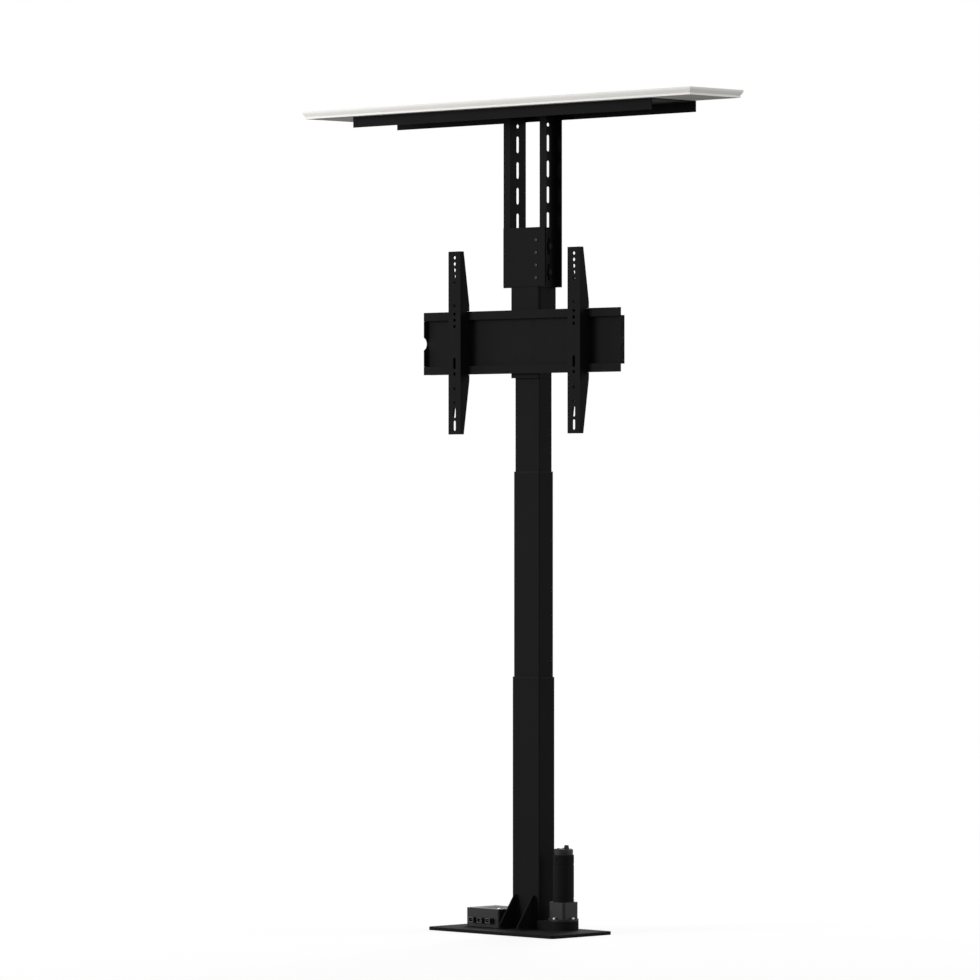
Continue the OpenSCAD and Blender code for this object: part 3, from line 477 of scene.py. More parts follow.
class Bench:
    """One piece on the bench, shaped with Blender's own tools."""

    def __init__(self, obj: bpy.types.Object) -> None:
        """Takes up an object."""
        self.obj = obj

    @staticmethod
    def clear() -> None:
        """Leaves edit mode and drops every selection."""
        if bpy.context.object and bpy.context.object.mode != "OBJECT":
            bpy.ops.object.mode_set(mode="OBJECT")
        bpy.ops.object.select_all(action="DESELECT")

    @classmethod
    def added(cls, name: str) -> Bench:
        """Takes up the primitive that was just added, with its place put in its mesh.

        Args:
            name: Name of the piece.

        Returns:
            The piece on the bench.
        """
        obj = bpy.context.object
        obj.name = name
        obj.data.name = name
        bpy.ops.object.transform_apply(location=True, rotation=True, scale=True)
        return cls(obj)

    @classmethod
    def block(cls, name: str, low: Point, high: Point) -> Bench:
        """Starts from a block between two corners.

        Args:
            name: Name of the piece.
            low: Lowest corner in millimetres.
            high: Highest corner in millimetres.

        Returns:
            The piece on the bench.
        """
        cls.clear()
        middle = (Vector(low) + Vector(high)) * MM / 2
        size = (Vector(high) - Vector(low)) * MM
        bpy.ops.mesh.primitive_cube_add(size=1, location=middle, scale=size)
        return cls.added(name)

    @classmethod
    def turned(cls, name: str, profile: Profile, sides: int) -> Bench:
        """Turns a piece about the Z axis from a disc, ring by ring.

        Args:
            name: Name of the piece.
            profile: Radius and height of each ring in millimetres, from the foot on.
            sides: Number of sides of a ring.

        Returns:
            The piece on the bench.
        """
        cls.clear()
        radius, height = profile[0]
        bpy.ops.mesh.primitive_circle_add(
            vertices=sides, radius=radius * MM, fill_type="NGON", location=(0, 0, height * MM)
        )
        bench = cls.added(name)
        for (r0, z0), (r1, z1) in zip(profile, profile[1:]):
            bench.tool("extrude_region_move", TRANSFORM_OT_translate={"value": (0, 0, (z1 - z0) * MM)})
            bpy.ops.transform.resize(value=(r1 / r0, r1 / r0, 1))
        return bench.outward()

    @classmethod
    def copied(cls, name: str, node: bpy.types.Object) -> Bench:
        """Takes a copy of a solid's mesh, merged and with its flat faces whole.

        Args:
            name: Name of the piece.
            node: Object of the solid.

        Returns:
            The piece on the bench.
        """
        obj = bpy.data.objects.new(name, node.data.copy())
        bpy.context.scene.collection.objects.link(obj)
        bench = cls(obj).edit()
        bpy.ops.mesh.customdata_custom_splitnormals_clear()
        bench.whole().tool("remove_doubles", threshold=MERGE_MM * MM)
        return bench.whole().tool("dissolve_limited", angle_limit=math.radians(FLAT_DEG))

    @classmethod
    def joined(cls, name: str, benches: Sequence[Bench]) -> Bench:
        """Joins several pieces in one mesh.

        Args:
            name: Name of the joined piece.
            benches: Pieces to join.

        Returns:
            The joined piece on the bench.
        """
        cls.clear()
        for bench in benches:
            bench.obj.select_set(True)
        bpy.context.view_layer.objects.active = benches[0].obj
        bpy.ops.object.join()
        benches[0].obj.name = name
        return cls(benches[0].obj)

    def hold(self) -> None:
        """Makes this piece the only selected one, in object mode."""
        self.clear()
        self.obj.select_set(True)
        bpy.context.view_layer.objects.active = self.obj

    def edit(self) -> Bench:
        """Opens the piece in edit mode.

        Returns:
            This piece.
        """
        if self.obj.mode != "EDIT":
            self.hold()
            bpy.ops.object.mode_set(mode="EDIT")
        return self

    def tool(self, name: str, **settings: Any) -> Bench:
        """Uses one mesh tool on what is selected.

        Args:
            name: The tool's name in bpy.ops.mesh.
            settings: The tool's settings.

        Returns:
            This piece.
        """
        self.edit()
        getattr(bpy.ops.mesh, name)(**settings)
        return self

    def whole(self) -> Bench:
        """Selects all of the piece."""
        return self.tool("select_all", action="SELECT")

    def outward(self) -> Bench:
        """Turns every face outwards."""
        return self.whole().tool("normals_make_consistent", inside=False)

    def pick(self, kind: Pick, test: Callable[[Vector, Vector], bool]) -> Bench:
        """Selects by place and direction.

        Args:
            kind: What is selected.
            test: Takes a middle in millimetres and a normal, or an edge's direction.

        Returns:
            This piece.
        """
        self.tool("select_mode", type=kind.value).tool("select_all", action="DESELECT")
        bpy.ops.object.mode_set(mode="OBJECT")
        mesh = self.obj.data
        if kind is Pick.FACE:
            for face in mesh.polygons:
                face.select = test(face.center / MM, face.normal)
        elif kind is Pick.EDGE:
            for edge in mesh.edges:
                start, end = (mesh.vertices[i].co for i in edge.vertices)
                edge.select = test((start + end) / (2 * MM), (end - start).normalized())
        else:
            for point in mesh.vertices:
                point.select = test(point.co / MM, point.normal)
        return self.edit()

    def modifier(self, kind: str, **settings: Any) -> Bench:
        """Adds a modifier and applies it.

        Args:
            kind: Blender's name of the modifier's type.
            settings: The modifier's settings.

        Returns:
            This piece.
        """
        self.hold()
        made = self.obj.modifiers.new(kind, kind)
        for name, value in settings.items():
            setattr(made, name, value)
        bpy.ops.object.modifier_apply(modifier=made.name)
        return self

    def cut(self, tool: Bench, operation: str = "DIFFERENCE") -> Bench:
        """Cuts the piece with another one, which is used up.

        Args:
            tool: The cutting piece.
            operation: DIFFERENCE or INTERSECT.

        Returns:
            This piece.
        """
        self.modifier("BOOLEAN", object=tool.obj, operation=operation, solver="EXACT")
        bpy.data.objects.remove(tool.obj, do_unlink=True)
        return self

    def soften(self, width: float, segments: int = BROKEN) -> Bench:
        """Breaks the sharp edges, as wide as that in millimetres, with so many faces across."""
        return self.modifier(
            "BEVEL",
            width=width * MM,
            segments=segments,
            limit_method="ANGLE",
            angle_limit=math.radians(SHARP_DEG),
        )

    def put(self, place: Matrix) -> Bench:
        """Moves the mesh itself, so that its object stays at the origin.

        Args:
            place: Transform in metres.

        Returns:
            This piece.
        """
        self.hold()
        self.obj.data.transform(place)
        return self

    def copies(self, name: str, places: Sequence[Matrix]) -> Bench:
        """Copies the piece to several places and joins the copies.

        Args:
            name: Name of the joined piece.
            places: A transform for each copy.

        Returns:
            The joined piece on the bench.
        """
        self.hold()
        made = []
        for place in places:
            mesh = self.obj.data.copy()
            mesh.transform(place)
            obj = bpy.data.objects.new(name, mesh)
            bpy.context.scene.collection.objects.link(obj)
            made.append(Bench(obj))
        bpy.data.objects.remove(self.obj, do_unlink=True)
        return Bench.joined(name, made)

    def boxes(self) -> list[Box]:
        """Measures each solid of the piece, which is taken apart and used up.

        Returns:
            The box of each solid.
        """
        self.hold()
        bpy.ops.mesh.separate(type="LOOSE")
        solids = list(bpy.context.selected_objects)
        found = [Box.around(solid.data) for solid in solids]
        for solid in solids:
            bpy.data.objects.remove(solid, do_unlink=True)
        return found


def at(x: float, y: float, z: float, turn: Matrix | None = None) -> Matrix:
    """Gives the transform to a place in millimetres, with a turn made before it."""
    return Matrix.Translation(Vector((x, y, z)) * MM) @ (turn or Matrix.Identity(4))


def facing(axis: Point) -> Matrix:
    """Gives the turn that points a piece's +Z along an axis."""
    return Vector(UP).rotation_difference(Vector(axis)).to_matrix().to_4x4()


def sector(place: Vector, count: int) -> int:
    """Gives the number of the sector about the Z axis that a place lies in, of that many."""
    return math.floor(math.atan2(place.y, place.x) / (math.tau / count))


@dataclass
class Shop:
    """Carries the frame's nodes and sends finished pieces to their bodies."""

    nodes: dict[str, bpy.types.Object]

    def body(self, node: str) -> str:
        """Gives the body that a node rides on."""
        return self.nodes[node]["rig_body"]

    def box(self, node: str) -> Box:
        """Gives the box of a whole node."""
        return Box.around(self.nodes[node].data)

    def boxes(self, node: str) -> list[Box]:
        """Gives the box of each solid of a node."""
        return Bench.copied("measured", self.nodes[node]).boxes()

    def keep(self, finish: Finish, *nodes: str) -> None:
        """Keeps the shape of some nodes and gives them a finish.

        Args:
            finish: Their surface.
            nodes: Names of the nodes.
        """
        for node in nodes:
            self.nodes[node].material_slots[0].material = finish.material()
            LOG.info("%s keeps its shape, in %s", node, finish.name)

    def ship(self, bench: Bench, finish: Finish, body: str, *replaced: str) -> None:
        """Shades and dresses a finished piece and mounts it on its body.

        Args:
            bench: The piece.
            finish: Its surface.
            body: Name of the body that carries it.
            replaced: Nodes that it stands for.
        """
        bench.hold()
        bpy.ops.object.shade_smooth_by_angle(angle=math.radians(SHARP_DEG))
        # Large flat faces keep their own direction, so that broken edges don't cloud them
        bench.modifier("WEIGHTED_NORMAL", weight=LARGEST_FACE, keep_sharp=True)
        bench.clear()
        obj = bench.obj
        obj.data.materials.clear()
        obj.data.materials.append(finish.material())
        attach(obj, body)
        if replaced:
            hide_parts(*replaced)
        LOG.info("%s rides on %s, in %s", obj.name, body, finish.name)

    def edged(self, finish: Finish, width: float, *nodes: str, segments: int = BROKEN) -> None:
        """Replaces some nodes by their own shape with broken edges.

        Args:
            finish: Their surface.
            width: Width of the broken edges in millimetres.
            nodes: Names of the nodes.
            segments: Number of faces across an edge.
        """
        for node in nodes:
            bench = Bench.copied(f"{node}_dressed", self.nodes[node]).soften(width, segments)
            self.ship(bench, finish, self.body(node), node)

    def screwed(self, node: str, name: str, screw: Screw, finish: Finish, *axes: Point) -> None:
        """Replaces the plain screws of a node by modelled ones, each on its own seat.

        Args:
            node: Name of the node.
            name: Name of the new piece.
            screw: The screw that is modelled.
            finish: Its surface.
            axes: Directions that the heads look in, of which each head takes its own side's.
        """
        places = []
        for box in self.boxes(node):
            axis = box.side(axes)
            out = Vector(axis)
            seat = box.middle + out * (abs(box.size.dot(out)) / 2 - screw.head_h)
            places.append(at(*seat, facing(axis)))
        self.ship(screw.model().copies(name, places), finish, self.body(node), node)

    @staticmethod
    def underside(name: str, finish: Finish) -> None:
        """Gives the faces of a piece that look down a finish of their own.

        Args:
            name: Name of the piece.
            finish: Surface of those faces.
        """
        mesh = bpy.data.objects[name].data
        mesh.materials.append(finish.material())
        # Faces that look down take the second finish; the lid's darker primer there is painted shade.
        for face in mesh.polygons:
            if face.normal.z < -ALONG:
                face.material_index = 1


@dataclass(frozen=True)
class Screw:
    """A screw that points down, with its seat on the origin.

    Its sizes are in millimetres. The crown, and all that follows the sides, are shares of its own sizes.
    """

    head_d: float
    head_h: float
    shank_d: float
    shank_l: float
    drive: Drive
    crown: float = 0.7
    sides: int = 32
    tip: float = 0.8
    dome: Profile = ((0.12, 0.5), (0.4, 0.16), (0.9, 0.0))
    drive_foot: float = 0.45
    key: float = 0.42
    bit: tuple[float, float] = (0.5, 0.13)
    chamfer_foot: float = 0.72
    chamfer_d: float = 0.94
    clear_of: float = 1.05

    def model(self) -> Bench:
        """Models the screw.

        Returns:
            The screw on the bench.
        """
        shank_r = self.shank_d / 2
        tip = shank_r * self.tip
        shank = [(tip, -self.shank_l), (shank_r, -self.shank_l + shank_r - tip), (shank_r, 0.0)]
        if self.drive is Drive.HEX_HEAD:
            return Bench.joined("hex_screw", [self.hex_head(), Bench.turned("shank", shank, self.sides)])
        r, h = self.head_d / 2, self.head_h
        arc = self.crown * h
        head = [(r, 0.0), (r, h - arc)]
        head += [(r - inward * arc, h - down * arc) for inward, down in self.dome]
        screw = Bench.turned("screw", shank + head, self.sides)
        foot, beyond = self.drive_foot * h, 2 * h
        if self.drive is Drive.HEX_SOCKET:
            key_r = self.key * r
            return screw.cut(Bench.turned("key", [(key_r, foot), (key_r, beyond)], HEX))
        wide, narrow = (share * r for share in self.bit)
        for x, y in ((wide, narrow), (narrow, wide)):
            screw.cut(Bench.block("bit", (-x, -y, foot), (x, y, beyond)))
        return screw

    def hex_head(self) -> Bench:
        """Models a hex head with its round chamfer.

        Returns:
            The head on the bench.
        """
        corner = self.head_d / math.sqrt(3)
        head = Bench.turned("hex", [(corner, 0.0), (corner, self.head_h)], HEX)
        wide = self.clear_of * corner
        foot = self.chamfer_foot * self.head_h
        round_r = self.chamfer_d * self.head_d / 2
        profile = [(wide, -self.head_h), (wide, foot), (round_r, self.head_h)]
        return head.cut(Bench.turned("chamfer", profile, self.sides), "INTERSECT")


@dataclass
class Bead:
    """A fillet weld: a quarter round with the ripples of the weld pool."""

    leg: float = 4.0
    ripple_l: float = 3.0
    ripple_h: float = 0.5
    sides: int = 16
    # Points whose x times y is more than this, in square millimetres, lie on the round
    on_round: float = 0.5

    def strip(self, middle: Point, side: Point, up: Point, length: float) -> Bench:
        """Lays one bead in a corner.

        Args:
            middle: Middle of the corner, in millimetres.
            side: Direction along one face, away from the other.
            up: Direction along the other face.
            length: Length of the bead.

        Returns:
            The bead on the bench.
        """
        rounds = max(2, round(length / self.ripple_l))
        step = length / (2 * rounds)
        bench = Bench.turned("bead", [(self.leg, -length / 2), (self.leg, length / 2)], self.sides)
        for normal in (LEFT, FRONT):
            bench.whole()
            bench.tool("bisect", plane_co=(0, 0, 0), plane_no=normal, use_fill=True, clear_outer=True)
        bench.pick(Pick.EDGE, lambda _, way: abs(way.z) > ALONG)
        bench.tool("subdivide", number_cuts=2 * rounds - 1)
        bench.pick(Pick.VERT, lambda p, _: p.x * p.y > self.on_round and round(p.z / step) % 2 == 1)
        bpy.ops.transform.translate(value=(self.ripple_h * MM, self.ripple_h * MM, 0))
        x_axis = Vector(side)
        y_axis = Vector(up)
        turn = Matrix((x_axis, y_axis, x_axis.cross(y_axis))).transposed().to_4x4()
        return bench.outward().put(at(*middle, turn))


@dataclass
class Base:
    """The floor plate with its ribs and welds."""

    shop: Shop
    plate_edge: float = 1.0
    rib_edge: float = 0.6
    tube_corner: float = 3.5
    bead_end: float = 4.0

    def rib_beads(self, bead: Bead, rib: Box) -> list[Bench]:
        """Lays the beads on both faces of a rib, and the one from the rib out to the tube's corner.

        Args:
            bead: Weld that is laid.
            rib: Box of the rib.

        Returns:
            The beads on the bench.
        """
        tube = self.shop.box("outer_tube")
        side = rib.side((FRONT, BACK))
        hand = rib.side((LEFT, RIGHT))
        floor, wall_y = rib.low.z, side[1] * tube.high.y
        made = []
        for face in (LEFT, RIGHT):
            x = rib.middle.x + face[0] * rib.size.x / 2
            foot = (x, rib.middle.y + side[1] * bead.leg / 2, floor)
            made.append(bead.strip(foot, face, UP, rib.size.y - bead.leg - self.bead_end))
            wall = (x, wall_y, rib.middle.z)
            made.append(bead.strip(wall, face, side, rib.size.z - 2 * self.bead_end))
        end = tube.high.x - self.tube_corner
        length = end - abs(rib.middle.x) - rib.size.x / 2 - bead.leg
        outer = (hand[0] * (end - length / 2), wall_y, floor)
        return made + [bead.strip(outer, side, UP, length)]

    def beads(self) -> list[Bench]:
        """Lays the weld beads round the foot of the column and along the ribs.

        Returns:
            The beads on the bench.
        """
        bead = Bead()
        tube = self.shop.box("outer_tube")
        ribs = self.shop.boxes("base_gussets")
        floor = tube.low.z
        made = [strip for rib in ribs for strip in self.rib_beads(bead, rib)]
        gap = min(abs(rib.middle.x) - rib.size.x / 2 for rib in ribs) - bead.leg
        for side in (FRONT, BACK):
            made.append(bead.strip((0, side[1] * tube.high.y, floor), side, UP, 2 * gap))
        wall_l = tube.size.y - 2 * self.tube_corner
        return made + [bead.strip((tube.low.x, 0, floor), LEFT, UP, wall_l)]

    def build(self) -> None:
        """Builds the plate, the ribs and the welds."""
        self.shop.edged(POWDER, self.plate_edge, "base_plate")
        self.shop.edged(POWDER, self.rib_edge, "base_gussets")
        self.shop.ship(Bench.joined("base_weld_beads", self.beads()), POWDER, "base")


@dataclass
class Column:
    """The three tubes, their nylon collars and the screws that run inside them."""

    shop: Shop
    tube_edge: float = 0.5
    collar_edge: float = 0.25

    def build(self) -> None:
        """Dresses the tubes, the collars and the pieces inside."""
        self.shop.edged(POWDER, self.tube_edge, "outer_tube", "middle_tube", "inner_tube")
        self.shop.edged(NYLON, self.collar_edge, "outer_collar", "middle_collar")
        self.shop.keep(NYLON, "middle_glide", "inner_glide", "middle_nut_block", "inner_nut_block")
        self.shop.keep(BRONZE, "middle_nut", "inner_nut")
        self.shop.keep(GROUND, "lower_screw", "upper_screw", "motor_shaft")
        self.shop.keep(GROUND, "upper_bearing", "thrust_bearing")
        self.shop.keep(ALUMINIUM, "screw_pulley", "motor_pulley")
        self.shop.keep(NEOPRENE, "drive_belt")


@dataclass
class Head:
    """The moving sleeve with its cap and the plate that guards the risers."""

    shop: Shop
    sheet_edge: float = 0.6
    guide_screw: Screw = Screw(head_d=8.0, head_h=2.0, shank_d=5.0, shank_l=5.0, drive=Drive.HEX_SOCKET)
    cap_screw: Screw = Screw(head_d=8.75, head_h=2.5, shank_d=5.0, shank_l=14.0, drive=Drive.HEX_SOCKET)

    def build(self) -> None:
        """Builds the sheet metal and its screws."""
        self.shop.edged(POWDER, self.sheet_edge, "head_sleeve", "guide_plate")
        self.shop.keep(POWDER, "head_cap")
        self.shop.screwed("guide_screws", "guide_button_screws", self.guide_screw, BLACK_ZINC, FRONT)
        self.shop.screwed("head_cap_screws", "head_button_screws", self.cap_screw, BLACK_ZINC, BACK)


@dataclass
class Bracket:
    """The lipped television bracket, its bolts, the two arms and their locks."""

    shop: Shop
    sheet_edge: float = 0.6
    head_edge: float = 0.3
    knob_r: float = 8.0
    knob_h: float = 10.0
    knob_sides: int = 24
    # Shares of the knob's radius and height that its rounded ends leave
    knob_end_r: float = 0.8
    knob_end_h: float = 0.15
    grip_deep: float = 0.9
    grip_margin: float = 0.3
    stud_r: float = 3.0
    stud_l: float = 17.6
    stud_sides: int = 20
    stud_tip: float = 0.8
    thread_pitch: float = 1.0
    thread_deep: float = 0.5
    # Shares of a pitch at which the thread's crest and its next root lie
    crest_at: float = 0.4
    root_at: float = 0.9

    def knob(self, name: str) -> Bench:
        """Models a lock knob with pressed grips.

        Args:
            name: Name of the piece.

        Returns:
            The knob on the bench, with its foot on the origin.
        """
        r, h = self.knob_r, self.knob_h
        end_r, end_h = self.knob_end_r * r, self.knob_end_h * h
        profile = [(end_r, 0.0), (r, end_h), (r, h - end_h), (end_r, h)]
        knob = Bench.turned(name, profile, self.knob_sides)
        knob.pick(Pick.FACE, lambda c, n: abs(n.z) < ACROSS and sector(c, self.knob_sides) % 2 == 0)
        margin, deep = self.grip_margin * MM, self.grip_deep * MM
        return knob.tool("inset", thickness=margin, depth=-deep, use_individual=True)

    def stud(self, name: str) -> Bench:
        """Models the threaded stud of a lock.

        Args:
            name: Name of the piece.

        Returns:
            The stud on the bench, with its foot on the origin.
        """
        root = self.stud_r - self.thread_deep
        profile = [(root, 0.0)]
        for i in range(int(self.stud_l / self.thread_pitch)):
            crest_z = (i + self.crest_at) * self.thread_pitch
            root_z = (i + self.root_at) * self.thread_pitch
            profile += [(self.stud_r, crest_z), (root, root_z)]
        profile.append((self.stud_tip * root, self.stud_l))
        return Bench.turned(name, profile, self.stud_sides)

    def build(self) -> None:
        """Builds the bracket, its bolts and both arms."""
        self.shop.edged(POWDER, self.sheet_edge, "tv_plate")
        self.shop.edged(POWDER, self.head_edge, "tv_plate_bolts")
        for side in ("left", "right"):
            node = f"{side}_arm"
            lock = f"{side}_arm_lock"
            self.shop.edged(POWDER, self.sheet_edge, node)
            room = self.shop.box(lock)
            x, y, _ = room.middle
            knob = self.knob(f"{side}_lock_knob").put(at(x, y, room.low.z))
            self.shop.ship(knob, ABS, self.shop.body(node), lock)
            stud = self.stud(f"{side}_lock_stud").put(at(x, y, room.low.z + self.knob_h))
            self.shop.ship(stud, ZINC, self.shop.body(node), lock)


@dataclass
class LidCarrier:
    """The slotted risers, the tray under the lid, and the lid panel."""

    shop: Shop
    sheet_edge: float = 0.6
    lid_edge: float = 0.8
    washer_edge: float = 0.3
    web_t: float = 2.5
    weld_l: float = 40.0
    weld_leg: float = 3.0
    riser_bolt: Screw = Screw(head_d=13.0, head_h=5.3, shank_d=8.0, shank_l=7.8, drive=Drive.HEX_HEAD)
    tray_bolt: Screw = Screw(head_d=13.0, head_h=5.3, shank_d=8.0, shank_l=7.0, drive=Drive.HEX_HEAD)
    lid_screw: Screw = Screw(head_d=9.0, head_h=2.5, shank_d=5.0, shank_l=15.0, drive=Drive.CROSS)

    def build(self) -> None:
        """Builds the risers, the tray, the lid and what fastens them."""
        self.shop.edged(POWDER, self.sheet_edge, "left_riser", "right_riser", "riser_crown", "lid_tray")
        self.shop.edged(LACQUER, self.lid_edge, "lid_panel", segments=ROUNDED)
        # The lid's downward faces take the matt primer, whose darker white is painted shade.
        self.shop.underside("lid_panel_dressed", PRIMER_WITH_PAINTED_SHADE)
        # Washers, bolts and screws take the darkened black oxide, which paints the channels' shade on the
        # riser bolts.
        self.shop.edged(BLACK_OXIDE_WITH_PAINTED_SHADE, self.washer_edge, "riser_washers")
        self.shop.screwed("riser_bolts", "riser_hex_bolts", self.riser_bolt, BLACK_OXIDE_WITH_PAINTED_SHADE, LEFT, RIGHT)
        self.shop.screwed("tray_bolts", "tray_hex_bolts", self.tray_bolt, BLACK_OXIDE_WITH_PAINTED_SHADE, DOWN)
        self.shop.screwed("lid_screws", "lid_pan_screws", self.lid_screw, BLACK_OXIDE_WITH_PAINTED_SHADE, DOWN)
        bead = Bead(leg=self.weld_leg)
        welds = []
        for node, face in (("left_riser", LEFT), ("right_riser", RIGHT)):
            riser = self.shop.box(node)
            web_x = riser.middle.x - face[0] * (riser.size.x / 2 - self.web_t)
            welds.append(bead.strip((web_x, riser.middle.y, riser.high.z), face, DOWN, self.weld_l))
        self.shop.ship(Bench.joined("crown_weld_beads", welds), POWDER, "lid_carrier")


@dataclass
class Motor:
    """The gear motor on its belt cover.

    What ends in _share is a share of the radius of the can or the cap.
    """

    shop: Shop
    axis_x: float = 100.0
    cover_edge: float = 1.2
    gear_edge: float = 1.6
    flange_screw: Screw = Screw(
        head_d=7.0, head_h=4.0, shank_d=4.0, shank_l=7.0, drive=Drive.HEX_SOCKET, crown=0.15
    )
    can_r: float = 25.0
    can_end_share: float = 0.95
    can_end_h: float = 1.2
    crimp_from_end: float = 8.0
    crimp_deep: float = 0.7
    crimp_w: float = 2.0
    crimp_slope: float = 0.6
    vent_z: tuple[float, float] = (96.0, 105.0)
    vent_deep: float = 1.2
    vent_margin: float = 1.0
    vent_every: int = 12
    vent_sides: int = 3
    cap_r: float = 23.0
    cap_h: float = 14.0
    cap_end_share: float = 0.9
    cap_end_h: float = 2.5
    groove_z: tuple[float, float] = (3.0, 5.0)
    groove_slope: float = 0.4
    groove_share: float = 0.965
    gland_x: float = 10.0
    # The gland's nut, and its dome with the bore for a lead
    nut: Profile = ((6.16, 0.0), (6.16, 3.5), (5.5, 4.0))
    dome: Profile = ((5.5, 3.5), (5.5, 7.0), (4.4, 9.0), (2.75, 9.0), (2.75, 4.0))
    brush: Profile = ((3.5, 0.0), (3.5, 1.0), (3.0, 1.6), (1.2, 1.6), (1.2, 0.8))
    brush_x: float = -8.0
    brush_y: float = 9.0
    brush_sunk: float = 0.2
    sides: int = 48
    fine_sides: int = 24

    def can(self) -> Bench:
        """Models the can with its crimps and vents.

        Returns:
            The can on the bench.
        """
        room = self.shop.box("motor_can")
        length = room.size.z
        low_vent, high_vent = self.vent_z
        r, low = self.can_r, self.can_r - self.crimp_deep
        end_r = self.can_end_share * r
        rings = [(end_r, 0.0), (r, self.can_end_h)]
        for z in (self.crimp_from_end, low_vent - self.crimp_from_end):
            far = z + self.crimp_w
            rings += [(r, z), (low, z + self.crimp_slope), (low, far), (r, far + self.crimp_slope)]
        rings += [(r, low_vent), (r, high_vent), (r, length - self.can_end_h), (end_r, length)]
        can = Bench.turned("motor_can_drawn", rings, self.sides)

        def vent(centre: Vector, normal: Vector) -> bool:
            """Tells whether a face is one of the vent windows."""
            in_band = low_vent < centre.z < high_vent and abs(normal.z) < ACROSS
            return in_band and sector(centre, self.sides) % self.vent_every < self.vent_sides

        can.pick(Pick.FACE, vent)
        can.tool("inset", thickness=self.vent_margin * MM, depth=-self.vent_deep * MM)
        return can.put(at(self.axis_x, 0, room.low.z))

    def cap(self) -> Bench:
        """Models the end cap with its cable gland and two brush caps.

        Returns:
            The cap on the bench.
        """
        r, h = self.cap_r, self.cap_h
        low, high = self.groove_z
        groove_r, slope = self.groove_share * r, self.groove_slope
        rings = [(r, 0.0), (r, low), (groove_r, low + slope), (groove_r, high - slope), (r, high)]
        rings += [(r, h - self.cap_end_h), (self.cap_end_share * r, h)]
        cap = Bench.turned("cap", rings, self.sides)
        gland = at(self.gland_x, 0, h)
        nut = Bench.turned("nut", self.nut, HEX).put(gland)
        dome = Bench.turned("dome", self.dome, self.fine_sides).put(gland)
        places = [at(self.brush_x, s * self.brush_y, h - self.brush_sunk) for s in (-1, 1)]
        brushes = Bench.turned("brush", self.brush, self.fine_sides).copies("brushes", places)
        whole = Bench.joined("motor_cap_moulded", [cap, nut, dome, brushes])
        return whole.put(at(self.axis_x, 0, self.shop.box("motor_can").high.z))

    def build(self) -> None:
        """Builds the cover, the gearbox and the motor."""
        self.shop.edged(POWDER, self.cover_edge, "belt_cover", segments=ROUNDED)
        self.shop.edged(ABS, self.gear_edge, "gearbox_housing", segments=ROUNDED)
        self.shop.screwed("gearbox_screws", "gearbox_cap_screws", self.flange_screw, ZINC, UP)
        self.shop.ship(self.can(), POWDER, "base", "motor_can")
        self.shop.ship(self.cap(), ABS, "base", "motor_end_cap")


@dataclass
class ControlBox:
    """The control box with its board, sockets, lamp and cooling ribs."""

    shop: Shop
    edge: float = 0.8
    socket_edge: float = 0.4
    socket_deep: float = 10.0
    lid_screw: Screw = Screw(head_d=6.0, head_h=2.0, shank_d=3.0, shank_l=14.0, drive=Drive.CROSS)
    pin: Profile = ((0.7, 0.0), (0.7, 6.7), (0.35, 7.5))
    pin_x: tuple[float, ...] = (-3.6, -1.2, 1.2, 3.6)
    pin_sides: int = 12
    lamp_x: float = 40.0
    lamp_y: float = -34.0
    lamp: Profile = ((2.5, -0.5), (2.5, 0.6), (2.15, 1.3), (1.25, 1.8))
    lamp_sides: int = 24
    rib_y: tuple[float, ...] = (-24.0, -12.0, 0.0, 12.0, 24.0)
    rib_z: tuple[float, float] = (14.0, 44.0)
    rib_w: float = 3.0
    rib_t: float = 1.4
    rib_sunk: float = 0.5
    rib_round: float = 0.6

    def ribs(self) -> Bench:
        """Models the cooling ribs on both sides of the box.

        Returns:
            The ribs on the bench.
        """
        room = self.shop.box("control_box_base")
        low = (-self.rib_sunk, -self.rib_w / 2, self.rib_z[0])
        high = (self.rib_t, self.rib_w / 2, self.rib_z[1])
        rib = Bench.block("rib", low, high).soften(self.rib_round, ROUNDED)
        places = []
        for face, angle in ((LEFT, math.pi), (RIGHT, 0.0)):
            x = room.middle.x + face[0] * room.size.x / 2
            turn = Matrix.Rotation(angle, 4, "Z")
            places += [at(x, room.middle.y + y, 0, turn) for y in self.rib_y]
        return rib.copies("control_box_ribs", places)

    def pins(self) -> Bench:
        """Models the contact pins in the sockets.

        Returns:
            The pins on the bench.
        """
        places = []
        for socket in self.shop.boxes("control_sockets"):
            x, _, z = socket.middle
            foot_y = socket.low.y + self.socket_deep
            places += [at(x + step, foot_y, z, facing(FRONT)) for step in self.pin_x]
        return Bench.turned("pin", self.pin, self.pin_sides).copies("control_socket_pins", places)

    def build(self) -> None:
        """Builds the box and all that is on it."""
        self.shop.edged(ABS, self.edge, "control_box_base", "control_box_lid")
        self.shop.keep(BOARD, "control_board")
        self.shop.edged(SHELL, self.socket_edge, "control_sockets")
        self.shop.screwed("control_box_screws", "control_box_pan_screws", self.lid_screw, ZINC, UP)
        self.shop.ship(self.pins(), CONTACT, "base")
        lid = self.shop.box("control_box_lid")
        place = at(lid.middle.x + self.lamp_x, lid.middle.y + self.lamp_y, lid.high.z)
        lens = Bench.turned("control_lamp_lens", self.lamp, self.lamp_sides)
        self.shop.ship(lens.put(place), LENS, "base")
        self.shop.ship(self.ribs(), ABS, "base")


@dataclass(frozen=True)
class Lamp:
    """A round soft lamp: its place in millimetres, its width in metres and its power in watts."""

    place: Point
    width: float
    power: float


